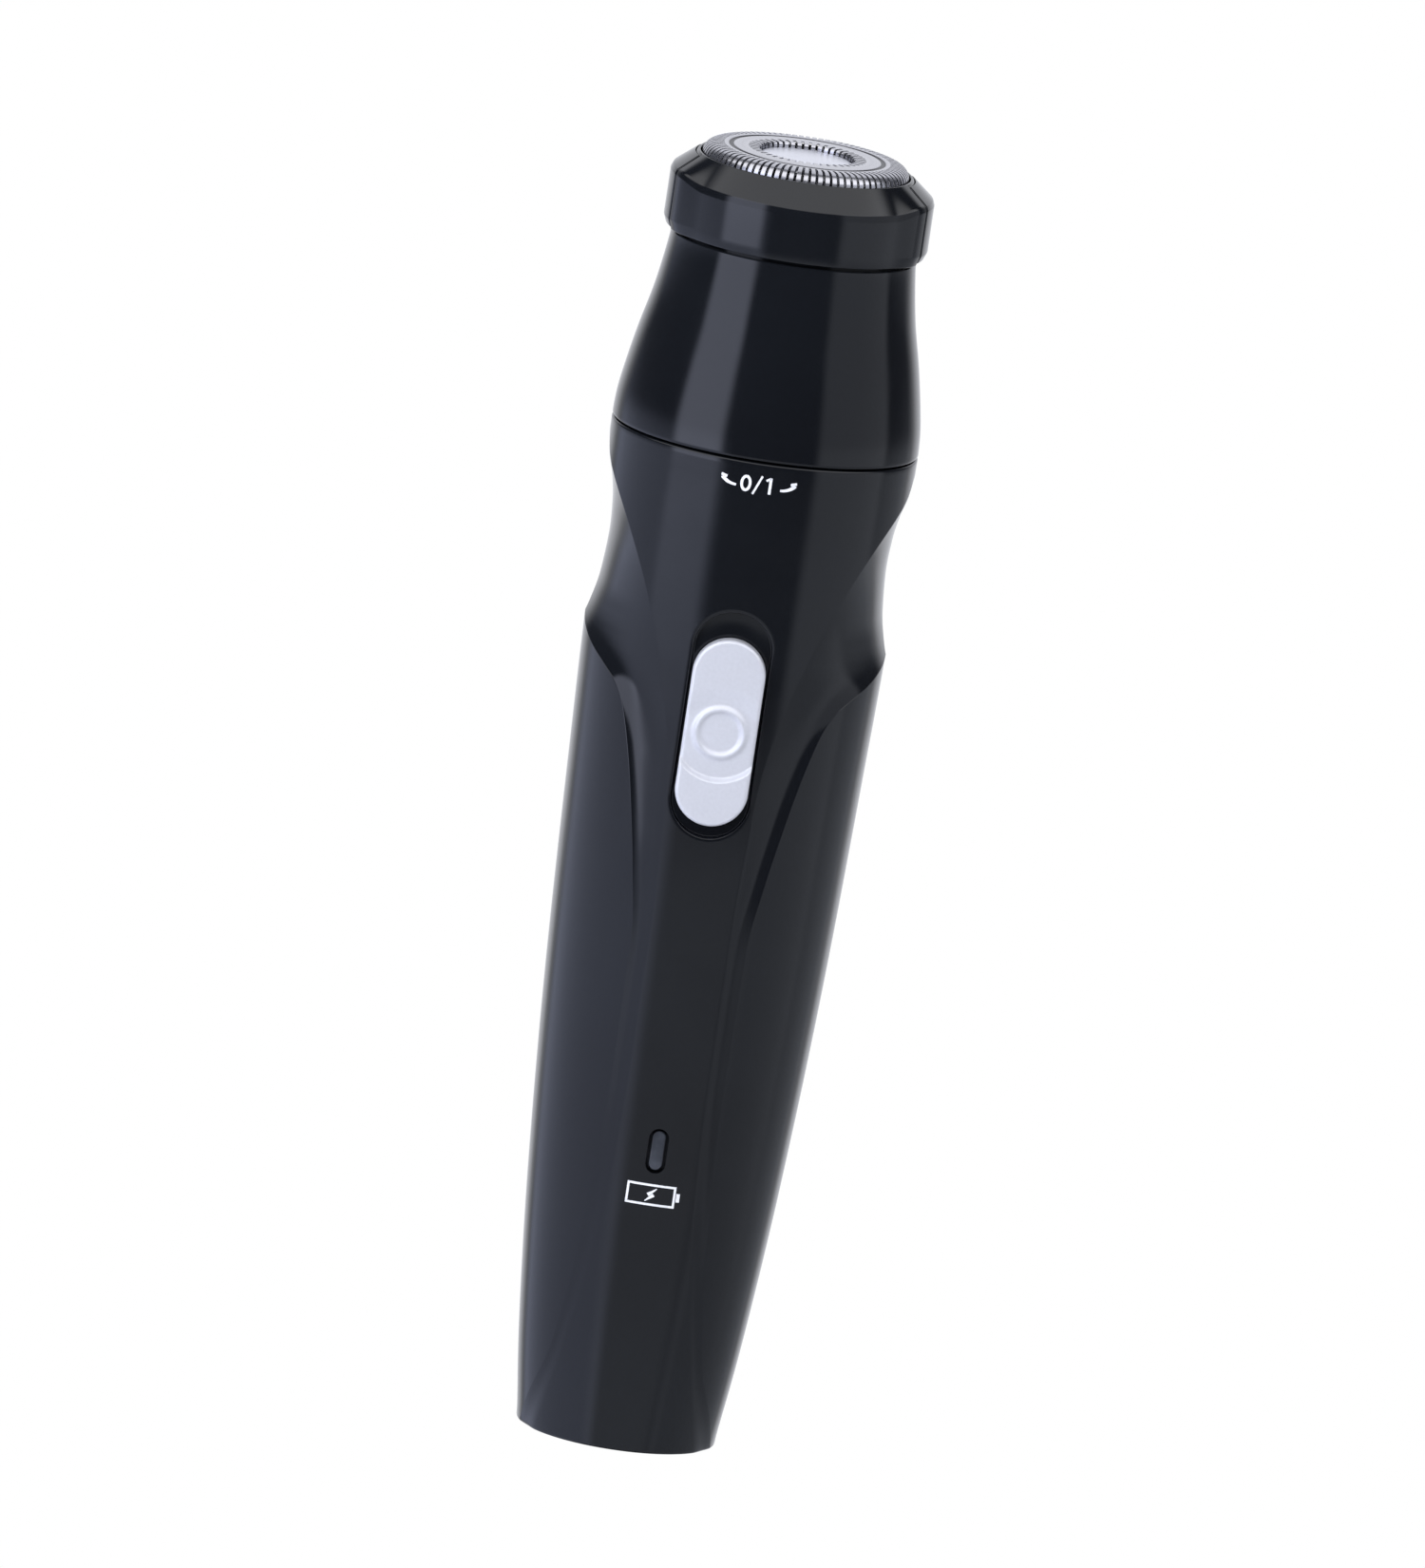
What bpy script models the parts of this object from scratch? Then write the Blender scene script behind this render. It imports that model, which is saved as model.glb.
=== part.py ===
"""Rechargeable grooming handle with a round rotary foil head.

Units are millimetres in the constants and metres in the scene. The origin is the centre of the foot,
+Z runs up the handle to the shaving head and the switch faces -Y.
"""

import math

import bmesh
import bpy
import numpy as np
from mathutils import Vector

MM = 0.001
GAP = 0.3                      # clearance between neighbouring pieces

# Handle shells
HANDLE_TOP = 117.5
CREST_TOP = 94.4               # height where the wing crest reaches the side
SHELL_WALL = 1.8
SEAM_GAP = 0.15                # from each half to the parting plane
HALF_WIDTH = [(0, 11.4), (10, 12.7), (30, 14.5), (55, 16.0), (80, 16.95), (94.4, 17.4), (117.8, 17.7)]
HALF_DEPTH = [(0, 11.6), (12, 12.75), (35, 14.4), (60, 15.9), (73, 16.6), (86, 17.1), (100, 17.4),
              (117.8, 17.7)]
SPINE_EDGE = [(0, 9.3), (10, 7.5), (25, 5.4), (45, 4.35), (62, 4.35), (80, 5.3), (90, 7.3), (100, 10.6),
              (108, 14.4), (113.5, 17.6)]
WING_EDGE = [(0, 11.0), (11, 8.7), (25, 7.2), (45, 6.5), (60, 6.6), (72, 8.2), (81, 10.5), (94.4, 17.4)]
VALLEY_DEPTH = [(0, 0.5), (30, 0.25), (55, 0.3), (70, 0.4), (80, 0.6), (94.4, 0.9), (104, 0.0)]
WAIST_DEPTH = [(94.4, 0.0), (97, 0.68), (100, 1.2), (103.8, 1.55), (108, 1.37), (111, 0.88), (113.1, 0.32),
               (115.5, 0.0)]
SHELL_LEVELS = [0, 7, 15, 24, 36, 48, 58, 66, 72, 77, 82, 86, 90, 94.4, 97, 100, 103.8, 107, 110, 112,
                114, HANDLE_TOP]

# Slide switch
SWITCH_Z = 85.8
BUTTON_WIDTH, BUTTON_HEIGHT = 8.4, 21.8
BUTTON_BACK, BUTTON_FRONT = -16.2, -18.1
RECESS_WIDTH, RECESS_BOTTOM, RECESS_TOP = 9.0, 73.3, 99.8
RECESS_FLOOR = -15.9
FLOOR_BACK = -14.9
STEM_WIDTH, STEM_HEIGHT = 3.4, 11.6
SWITCH_TRAVEL = 2.6

# Charge window and socket
LENS_Z = 35.9
LENS_WIDTH, LENS_HEIGHT = 1.6, 4.6
SOCKET_RADIUS = 2.7

# Battery, board and motor
CELL_RADIUS, CELL_BOTTOM, CELL_TOP = 7.1, 15.0, 63.6
CELL_Y = 1.6
MOTOR_RADIUS, MOTOR_BOTTOM, MOTOR_TOP = 9.2, 80.6, 106.0
SHAFT_RADIUS = 1.0
MOTOR_SCREW_X = 6.0

# Head
HEAD_BOTTOM = 117.8
BELL_OUTLINE = [(14.1, 140.0), (14.4, 137.6), (15.1, 133.1), (16.3, 127.8), (17.25, 122.6), (17.6, 120.1),
                (17.7, HEAD_BOTTOM)]
BELL_WALL = 1.5
LUG_COUNT = 3
CAP_RADIUS, CAP_BOTTOM, CAP_SHOULDER, CAP_TOP = 14.35, 140.4, 146.45, 149.45
CAP_MOUTH = 12.25
TAB_RADIUS, TAB_BOTTOM = 15.25, 140.6
TAB_HALF_WIDTH, GUARD_HALF_WIDTH = 4.5, 6.2
TAB_PIVOT_R, TAB_PIVOT_Z = 13.0, 149.3
FOIL_RADIUS, FOIL_TOP = 11.95, 150.7

BLACK_GLOSS = ("black_gloss", (0.006, 0.007, 0.009), 0.16, 0.0)
BLACK_MATT = ("black_matt", (0.012, 0.012, 0.014), 0.5, 0.0)
GREY_PLASTIC = ("grey_plastic", (0.16, 0.17, 0.18), 0.45, 0.0)
WHITE_PLASTIC = ("white_plastic", (0.72, 0.72, 0.70), 0.4, 0.0)
SILVER = ("satin_silver", (0.60, 0.61, 0.66), 0.3, 0.9)
STEEL = ("steel", (0.50, 0.51, 0.54), 0.26, 1.0)
NICKEL = ("nickel_plate", (0.62, 0.60, 0.54), 0.3, 1.0)
BRASS = ("brass", (0.70, 0.50, 0.20), 0.3, 1.0)
CELL_GREEN = ("cell_sleeve", (0.02, 0.22, 0.10), 0.35, 0.0)
BOARD_GREEN = ("board_green", (0.01, 0.12, 0.05), 0.45, 0.0)
MAGNET_GREY = ("ferrite", (0.05, 0.05, 0.055), 0.7, 0.2)
COPPER = ("copper_winding", (0.62, 0.25, 0.10), 0.35, 1.0)
RUBBER = ("black_rubber", (0.015, 0.015, 0.015), 0.8, 0.0)
LENS = ("smoked_lens", (0.05, 0.055, 0.065), 0.08, 0.0)
RED_LEAD = ("red_lead", (0.45, 0.01, 0.01), 0.5, 0.0)
BLACK_LEAD = ("black_lead", (0.01, 0.01, 0.01), 0.5, 0.0)


def new_collection(name):
    collection = bpy.data.collections.new(name)
    bpy.context.scene.collection.children.link(collection)
    return collection


def clear_scene():
    for obj in list(bpy.data.objects):
        bpy.data.objects.remove(obj, do_unlink=True)


clear_scene()
PARTS = new_collection("rotary_foil_shaver")
CUTTERS = new_collection("rotary_foil_shaver_cutters")


def material(spec):
    """The Principled material for a (name, colour, roughness, metallic) spec, made once."""
    name, colour, roughness, metallic = spec
    found = bpy.data.materials.get(name)
    if found:
        return found
    made = bpy.data.materials.new(name)
    made.use_nodes = True
    shader = made.node_tree.nodes["Principled BSDF"]
    shader.inputs["Base Color"].default_value = (*colour, 1.0)
    shader.inputs["Roughness"].default_value = roughness
    shader.inputs["Metallic"].default_value = metallic
    return made


def add_object(name, data, spec, location=(0, 0, 0)):
    """Link mesh or curve data as a part, or as a cutter where spec is None."""
    obj = bpy.data.objects.new(name, data)
    obj.location = Vector(location) * MM
    if spec is None:
        CUTTERS.objects.link(obj)
        obj.hide_render = True
        obj.display_type = "WIRE"
    else:
        PARTS.objects.link(obj)
        data.materials.append(material(spec))
    return obj


def smooth(obj, angle=35.0):
    obj.data.shade_smooth()
    obj.data.set_sharp_from_angle(angle=math.radians(angle))


def turned(name, profile, spec, location=(0, 0, 0), steps=28, closed=True):
    """Turn an (r, z) profile about Z; it runs down its outer side, from the top."""
    points = [(r * MM, 0.0, z * MM) for r, z in profile]
    count = len(points)
    edges = [(i, i + 1) for i in range(count - 1)]
    if closed:
        edges.append((count - 1, 0))
    mesh = bpy.data.meshes.new(name)
    mesh.from_pydata(points, edges, [])
    obj = add_object(name, mesh, spec, location)
    screw = obj.modifiers.new("turn", "SCREW")
    screw.axis = "Z"
    screw.angle = math.tau
    screw.steps = steps
    screw.render_steps = steps
    screw.use_merge_vertices = True
    screw.merge_threshold = 0.00001
    screw.use_normal_calculate = False
    screw.use_smooth_shade = True
    return obj


def boolean(obj, cutter, operation="DIFFERENCE"):
    step = obj.modifiers.new(operation.lower(), "BOOLEAN")
    step.operation = operation
    step.solver = "EXACT"
    step.object = cutter
    return step


def bevel(obj, width, segments=2, angle=40.0):
    step = obj.modifiers.new("bevel", "BEVEL")
    step.width = width * MM
    step.segments = segments
    step.limit_method = "ANGLE"
    step.angle_limit = math.radians(angle)
    return step


def block(name, low, high, spec, bevel_width=0.0):
    """A box between two corners, with its origin at its centre."""
    low, high = Vector(low), Vector(high)
    mesh = bpy.data.meshes.new(name)
    bm = bmesh.new()
    bmesh.ops.create_cube(bm, size=MM)
    bmesh.ops.scale(bm, vec=high - low, verts=bm.verts)
    bm.to_mesh(mesh)
    bm.free()
    obj = add_object(name, mesh, spec, (low + high) / 2)
    if bevel_width:
        bevel(obj, bevel_width)
    return obj


def rod(name, radius, bottom, top, spec, xy=(0, 0), axis="Z", segments=24, bevel_width=0.0):
    """A cylinder from bottom to top along Z, or along Y where axis is Y and xy gives (x, z)."""
    mesh = bpy.data.meshes.new(name)
    bm = bmesh.new()
    bmesh.ops.create_cone(bm, cap_ends=True, segments=segments, radius1=radius * MM, radius2=radius * MM,
                          depth=(top - bottom) * MM)
    bm.to_mesh(mesh)
    bm.free()
    middle = (bottom + top) / 2
    place = (xy[0], xy[1], middle) if axis == "Z" else (xy[0], middle, xy[1])
    obj = add_object(name, mesh, spec, place)
    if axis == "Y":
        obj.rotation_euler.x = math.radians(90)
    smooth(obj)
    if bevel_width:
        bevel(obj, bevel_width)
    return obj


def outline_solid(name, outlines, thickness, spec, location=(0, 0, 0), facing="Z"):
    """Extrude flat closed outlines; the first is the edge and the others are holes."""
    curve = bpy.data.curves.new(name, "CURVE")
    curve.dimensions = "2D"
    curve.fill_mode = "BOTH"
    curve.extrude = thickness * MM / 2
    for outline in outlines:
        spline = curve.splines.new("POLY")
        spline.points.add(len(outline) - 1)
        for point, (x, y) in zip(spline.points, outline):
            point.co = (x * MM, y * MM, 0.0, 1.0)
        spline.use_cyclic_u = True
    holder = bpy.data.objects.new(name + "_outline", curve)
    bpy.context.scene.collection.objects.link(holder)
    if facing == "Y":
        holder.rotation_euler.x = math.radians(90)
    mesh = welded_mesh(holder)
    mesh.name = name
    obj = add_object(name, mesh, spec, location)
    obj.rotation_euler = holder.rotation_euler
    bpy.data.objects.remove(holder, do_unlink=True)
    return obj


def welded_mesh(obj):
    """The mesh of a curve object, with its caps welded on."""
    bpy.context.view_layer.update()
    evaluated = obj.evaluated_get(bpy.context.evaluated_depsgraph_get())
    mesh = bpy.data.meshes.new_from_object(evaluated)
    bm = bmesh.new()
    bm.from_mesh(mesh)
    bmesh.ops.remove_doubles(bm, verts=bm.verts, dist=0.000001)
    bmesh.ops.recalc_face_normals(bm, faces=bm.faces)
    bm.to_mesh(mesh)
    bm.free()
    return mesh


def pill(width, height, segments=10):
    """The outline of a slot with round ends, height along its second axis."""
    radius = width / 2
    straight = height / 2 - radius
    points = []
    for side, start in ((1, 0.0), (-1, math.pi)):
        for i in range(segments + 1):
            turn = start + math.pi * i / segments
            points.append((radius * math.cos(turn), side * straight + radius * math.sin(turn)))
    return points


def circle(radius, segments=48):
    turns = np.linspace(0, math.tau, segments + 1)[:-1]
    return [(radius * math.cos(t), radius * math.sin(t)) for t in turns]


def lobed_circle(radius, lug_radius, lug_half_angle, segments=48):
    """A circle whose radius steps out to lug_radius at LUG_COUNT evenly spaced lugs."""
    points = []
    for i in range(segments):
        turn = math.tau * i / segments
        from_lug = (turn + math.pi / LUG_COUNT) % (math.tau / LUG_COUNT) - math.pi / LUG_COUNT
        r = lug_radius if abs(from_lug) <= math.radians(lug_half_angle) else radius
        points.append((r * math.cos(turn), r * math.sin(turn)))
    return points


def arc_outline(inner, outer, half_angle, middle=0.0, segments=12):
    """The outline of a ring segment centred on the angle middle, in degrees."""
    turns = np.radians(np.linspace(middle - half_angle, middle + half_angle, segments + 1))
    outside = [(outer * math.cos(t), outer * math.sin(t)) for t in turns]
    inside = [(inner * math.cos(t), inner * math.sin(t)) for t in turns[::-1]]
    return outside + inside


def wire(name, route, radius, spec, resolution=2, spacing=1.5):
    """A round wire along a smooth curve through the route's points."""
    route = np.array(route, dtype=float)
    lengths = np.linalg.norm(np.diff(route, axis=0), axis=1)
    knots = np.concatenate([[0.0], np.cumsum(lengths)])
    count = max(6, int(knots[-1] / spacing))
    places = np.linspace(0.0, knots[-1], count)
    slopes = np.gradient(route, knots, axis=0)
    curve = bpy.data.curves.new(name, "CURVE")
    curve.dimensions = "3D"
    curve.bevel_depth = radius * MM
    curve.bevel_resolution = resolution
    curve.use_fill_caps = True
    spline = curve.splines.new("POLY")
    spline.points.add(count - 1)
    for point, place in zip(spline.points, places):
        co = [hermite(place, knots, route[:, k], slopes[:, k]) * MM for k in range(3)]
        point.co = (*co, 1.0)
    return add_object(name, curve, spec)


def hermite(x, knots, values, slopes):
    """Cubic through the values with the given slopes, held level outside the knots."""
    x = min(max(x, knots[0]), knots[-1])
    i = min(int(np.searchsorted(knots, x, side="right")) - 1, len(knots) - 2)
    step = knots[i + 1] - knots[i]
    t = (x - knots[i]) / step
    rise = (values[i + 1] - values[i]) * (3 * t * t - 2 * t ** 3)
    ease_out = slopes[i] * step * (t ** 3 - 2 * t * t + t)
    ease_in = slopes[i + 1] * step * (t ** 3 - t * t)
    return values[i] + rise + ease_out + ease_in


def fair(points, z):
    """A fair curve through (z, value) points, which never overshoots them."""
    knots = np.array([p[0] for p in points], dtype=float)
    values = np.array([p[1] for p in points], dtype=float)
    chords = np.diff(values) / np.diff(knots)
    slopes = np.concatenate([[chords[0]], np.zeros(len(knots) - 2), [chords[-1]]])
    for k in range(1, len(knots) - 1):
        before, after = chords[k - 1], chords[k]
        if before * after > 0:
            slopes[k] = 2 * before * after / (before + after)
    return float(hermite(z, knots, values, slopes))


def edge_angles(z):
    """Angles from the front at which the spine ends and the wing begins."""
    width = fair(HALF_WIDTH, z)
    inner = math.asin(min(fair(SPINE_EDGE, z) / width, 0.995))
    outer = math.pi / 2
    if z < CREST_TOP:
        outer = math.asin(min(fair(WING_EDGE, z) / width, 1.0))
    return inner, outer


def skin_point(angle, z):
    """A point on the handle's front right quarter, angle measured from the front towards +X."""
    width, depth = fair(HALF_WIDTH, z), fair(HALF_DEPTH, z)
    inner, outer = edge_angles(z)
    u = min(max((angle - inner) / (outer - inner), 0.0), 1.0)
    sink = 4 * fair(VALLEY_DEPTH, z) * u * (1 - u)
    if z >= CREST_TOP:
        sink += fair(WAIST_DEPTH, z) * (2 * u - u * u)
    x, y = width * math.sin(angle), depth * math.cos(angle)
    scale = 1 - sink / math.hypot(x, y)
    return x * scale, y * scale


def quarter_angles(z):
    """Column angles over a quarter, with columns on the spine's edge and the wing's edge."""
    inner, outer = edge_angles(z)
    outer = min(outer, math.radians(84))
    inner = min(inner, outer - math.radians(8))
    spine = np.linspace(0, inner, 5)
    valley = np.linspace(inner, outer, 5)[1:]
    wing = np.linspace(outer, math.pi / 2, 4)[1:]
    return np.concatenate([spine, valley, wing])


def ring_points(z):
    """One closed ring of the handle's skin, from the front round through +X."""
    quarter = [skin_point(angle, z) for angle in quarter_angles(z)]
    right_front = [(x, -y) for x, y in quarter]
    right_back = [(x, y) for x, y in reversed(quarter[:-1])]
    right = right_front + right_back
    left = [(-x, y) for x, y in reversed(right[1:-1])]
    return [(x * MM, y * MM, z * MM) for x, y in right + left]


def handle_skin():
    """The handle's outer surface, closed at the foot and open at the neck."""
    mesh = bpy.data.meshes.new("handle_skin")
    bm = bmesh.new()
    rings = [[bm.verts.new(p) for p in ring_points(z)] for z in SHELL_LEVELS]
    for lower, upper in zip(rings, rings[1:]):
        count = len(lower)
        for i in range(count):
            j = (i + 1) % count
            bm.faces.new((lower[i], lower[j], upper[j], upper[i]))
    centre = bm.verts.new((0, 0, 0))
    foot = rings[0]
    for i, vert in enumerate(foot):
        bm.faces.new((centre, foot[(i + 1) % len(foot)], vert))
    bm.to_mesh(mesh)
    bm.free()
    return mesh


def handle_shells():
    skin = handle_skin()
    reach = 40.0
    halves = {"front_shell": (-reach, -SEAM_GAP), "back_shell": (SEAM_GAP, reach)}
    recess = outline_solid("recess_cutter", [pill(RECESS_WIDTH, RECESS_TOP - RECESS_BOTTOM)], 4.0, None,
                           (0, RECESS_FLOOR - 2.0, (RECESS_TOP + RECESS_BOTTOM) / 2), "Y")
    slot = outline_solid("slot_cutter", [pill(STEM_WIDTH + 0.8, STEM_HEIGHT + 0.8 + SWITCH_TRAVEL)], 6.0, None,
                         (0, -14.5, SWITCH_Z + SWITCH_TRAVEL / 2), "Y")
    window = outline_solid("window_cutter", [pill(LENS_WIDTH + 2 * GAP, LENS_HEIGHT + 2 * GAP)], 8.0, None,
                           (0, -13.5, LENS_Z), "Y")
    socket = rod("socket_cutter", SOCKET_RADIUS + GAP, -2.0, 4.0, None)
    for name, (low_y, high_y) in halves.items():
        shell = add_object(name, skin.copy(), BLACK_GLOSS)
        wall = shell.modifiers.new("wall", "SOLIDIFY")
        wall.thickness = SHELL_WALL * MM
        wall.offset = -1.0
        wall.use_even_offset = True
        half = block(name + "_half", (-reach, low_y, -5), (reach, high_y, HANDLE_TOP), None)
        boolean(shell, half, "INTERSECT")
        boolean(shell, socket)
        smooth(shell, 30)
        if name == "front_shell":
            backing = block("recess_backing_joiner", (-4.9, RECESS_FLOOR + 0.25, RECESS_BOTTOM - 1.8),
                            (4.9, FLOOR_BACK, RECESS_TOP + 1.7), None)
            boolean(shell, backing, "UNION")
            for cutter in (recess, slot, window):
                boolean(shell, cutter)


def switch():
    """Button, carrier and contact, with their origins on the slide's line."""
    button = outline_solid("slide_button", [pill(BUTTON_WIDTH, BUTTON_HEIGHT)], BUTTON_BACK - BUTTON_FRONT,
                           SILVER, (0, (BUTTON_BACK + BUTTON_FRONT) / 2, SWITCH_Z), "Y")
    bevel(button, 0.5)
    stem = outline_solid("stem_joiner", [pill(STEM_WIDTH, STEM_HEIGHT)], 3.5, None,
                         (0, BUTTON_BACK + 0.75, SWITCH_Z), "Y")
    boolean(button, stem, "UNION")
    dish = rod("dish_cutter", 30.0, -4.0, 4.0, None, segments=96)
    dish.rotation_euler.y = math.radians(90)
    dish.location = Vector((0, BUTTON_FRONT - 29.55, SWITCH_Z)) * MM
    boolean(button, dish)
    smooth(button)
    block("switch_carrier", (-3.2, -13.4, 77.0), (3.2, -11.9, 94.0), GREY_PLASTIC, 0.3)
    block("moving_contact", (-2.0, -11.5, 80.0), (2.0, -11.1, 89.0), BRASS)
    block("switch_board", (-4.5, -10.6, 75.0), (4.5, -9.8, 97.0), BOARD_GREEN)


def charge_window():
    lens = outline_solid("charge_lens", [pill(LENS_WIDTH, LENS_HEIGHT)], 2.5, LENS, (0, -12.8, LENS_Z), "Y")
    flange = outline_solid("lens_flange_joiner", [pill(3.4, 6.6)], 0.7, None, (0, -11.55, LENS_Z), "Y")
    boolean(lens, flange, "UNION")
    smooth(lens)
    rod("charge_led", 1.1, -10.8, -8.7, WHITE_PLASTIC, (0, LENS_Z), axis="Y", segments=16)


def charging_socket():
    body = [(3.9, 11.2), (3.9, 2.2), (SOCKET_RADIUS, 2.2), (SOCKET_RADIUS, GAP), (1.8, GAP), (1.8, 9.6),
            (0.95, 9.6), (0.95, 11.2)]
    turned("charging_socket", body, BLACK_MATT, steps=24)
    rod("socket_pin", 0.65, 1.6, 12.2, NICKEL, segments=16, bevel_width=0.2)


def battery():
    cell = [(0, 64.6), (2.75, 64.6), (2.75, CELL_TOP), (CELL_RADIUS - 0.4, CELL_TOP),
            (CELL_RADIUS, CELL_TOP - 0.4), (CELL_RADIUS, CELL_BOTTOM + 0.4), (CELL_RADIUS - 0.4, CELL_BOTTOM),
            (0, CELL_BOTTOM)]
    turned("battery_cell", cell, CELL_GREEN, (0, CELL_Y, 0), closed=False)
    for name, bottom in (("battery_tab_positive", 64.9), ("battery_tab_negative", 14.25)):
        block(name, (-4.0, -2.4, bottom), (4.0, 5.6, bottom + 0.4), NICKEL)
    cradle = rod("battery_cradle", 8.9, 12.6, 66.9, GREY_PLASTIC, (0, CELL_Y), segments=40)
    bore = rod("cradle_bore", 7.5, 13.9, 65.7, None, (0, CELL_Y), segments=40)
    front = block("cradle_front", (-12, -12, 10), (12, 0, 70), None)
    boolean(cradle, bore)
    boolean(cradle, front)
    smooth(cradle)


def circuit_board():
    board = block("circuit_board", (-6.5, -8.4, 17.0), (6.5, -7.4, 72.0), BOARD_GREEN)
    for i, (x, z, width, height) in enumerate([(0, 50, 5.0, 5.0), (-3.5, 25, 3.0, 4.5), (3.2, 61, 3.5, 6.0)]):
        chip = block(f"chip_joiner_{i}", (x - width / 2, -9.6, z - height / 2),
                     (x + width / 2, -8.0, z + height / 2), None)
        boolean(board, chip, "UNION")


def motor():
    can = [(1.35, 107.0), (3.0, 107.0), (3.0, MOTOR_TOP), (MOTOR_RADIUS - 0.5, MOTOR_TOP),
           (MOTOR_RADIUS, MOTOR_TOP - 0.5), (MOTOR_RADIUS, MOTOR_BOTTOM), (8.4, MOTOR_BOTTOM), (8.4, 105.2),
           (1.35, 105.2)]
    case = turned("motor_can", can, STEEL)
    end_cap = [(8.1, 82.0), (8.1, 80.3), (MOTOR_RADIUS, 80.3), (MOTOR_RADIUS, 78.0), (1.35, 78.0), (1.35, 82.0)]
    turned("motor_end_cap", end_cap, BLACK_MATT)
    for name, middle in (("magnet_right", 0), ("magnet_left", 180)):
        magnet = outline_solid(name, [arc_outline(7.0, 8.1, 62, middle)], 20.0, MAGNET_GREY, (0, 0, 93.0))
        smooth(magnet)
    armature = [(1.3, 102.0), (6.6, 102.0), (6.6, 86.0), (3.2, 86.0), (3.2, 83.2), (1.3, 83.2)]
    turned("armature", armature, COPPER)
    rod("motor_shaft", SHAFT_RADIUS, 76.5, 113.0, STEEL, segments=20)
    coupling = [(0, 116.0), (3.2, 116.0), (3.2, 109.6), (1.3, 109.6), (1.3, 113.4), (0, 113.4)]
    jaw_hub = turned("motor_coupling", coupling, WHITE_PLASTIC, steps=24, closed=False)
    for side in (-1, 1):
        low_x, high_x = sorted((side * 1.7, side * 2.8))
        jaw = block(f"jaw_joiner_{side}", (low_x, -0.8, 115.0), (high_x, 0.8, 118.2), None)
        boolean(jaw_hub, jaw, "UNION")
    return case


def neck(motor_case):
    collar = [(9.0, 123.0), (11.2, 123.0), (11.2, 117.0), (15.2, 117.0), (15.2, 113.8), (10.4, 113.8),
              (10.4, 107.3), (3.4, 107.3), (3.4, 108.9), (9.0, 108.9)]
    collar_part = turned("neck_collar", collar, GREY_PLASTIC, steps=32)
    for name, x in (("motor_screw_left", -MOTOR_SCREW_X), ("motor_screw_right", MOTOR_SCREW_X)):
        screw = [(0, 110.5), (1.5, 110.5), (1.9, 110.1), (1.9, 109.2), (1.0, 109.2), (1.0, 104.4), (0, 104.4)]
        turned(name, screw, STEEL, (x, 0, 0), steps=16, closed=False)
        hole = rod(name + "_hole", 1.0 + GAP, 100.0, 109.1, None, (x, 0), segments=16)
        boolean(collar_part, hole)
        boolean(motor_case, hole)
    seal = [(12.1 + 0.6 * math.cos(t), 121.6 + 0.6 * math.sin(t))
            for t in np.linspace(math.pi / 2, -1.5 * math.pi, 7)[:-1]]
    turned("neck_seal", seal, RUBBER)
    ring_edge = lobed_circle(13.3, 14.3, 12)
    outline_solid("lock_ring", [ring_edge, circle(11.6)], 2.6, GREY_PLASTIC, (0, 0, 119.0))


def head():
    outer = BELL_OUTLINE
    inner = [(r - BELL_WALL, z) for r, z in reversed(outer) if z < 137]
    spigot = [(12.9, 142.4), (12.9, 140.0)]
    bell = turned("head_housing", spigot + outer + inner + [(12.0, 140.0), (12.0, 142.4)], BLACK_GLOSS, steps=44)
    smooth(bell, 30)
    base_bore = lobed_circle(13.7, 14.75, 19)
    outline_solid("head_base", [circle(15.4), base_bore], 2.6, BLACK_MATT, (0, 0, 119.4))
    deck = [(14.75, 126.0), (14.75, 124.0), (14.2, 124.0), (14.2, 121.5), (13.0, 121.5), (13.0, 124.0),
            (3.3, 124.0), (3.3, 126.0)]
    turned("head_deck", deck, BLACK_MATT, steps=32)
    turned("spindle_bush", [(3.0, 127.0), (3.0, 123.4), (1.5, 123.4), (1.5, 127.0)], BRASS, steps=24)
    spindle = [(2.5, 139.0), (3.4, 139.0), (3.4, 129.6), (1.2, 128.2), (1.2, 118.0), (0, 118.0)]
    spindle_part = turned("drive_spindle", [(0, 131.2), (2.5, 131.2)] + spindle, WHITE_PLASTIC, steps=28,
                          closed=False)
    blade = block("spindle_blade_joiner", (-0.5, -2.6, 116.5), (0.5, 2.6, 118.9), None)
    boolean(spindle_part, blade, "UNION")
    helix = [(1.9 * math.cos(t), 1.9 * math.sin(t), 131.8 + 4.4 * t / (math.tau * 4))
             for t in np.linspace(0, math.tau * 4, 49)]
    wire("spindle_spring", helix, 0.25, STEEL, spacing=1.3)
    plunger = rod("spindle_plunger", 2.15, 136.8, 140.0, WHITE_PLASTIC, segments=28)
    square = block("plunger_square_joiner", (-1.2, -1.2, 139.0), (1.2, 1.2, 145.4), None)
    boolean(plunger, square, "UNION")


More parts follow.
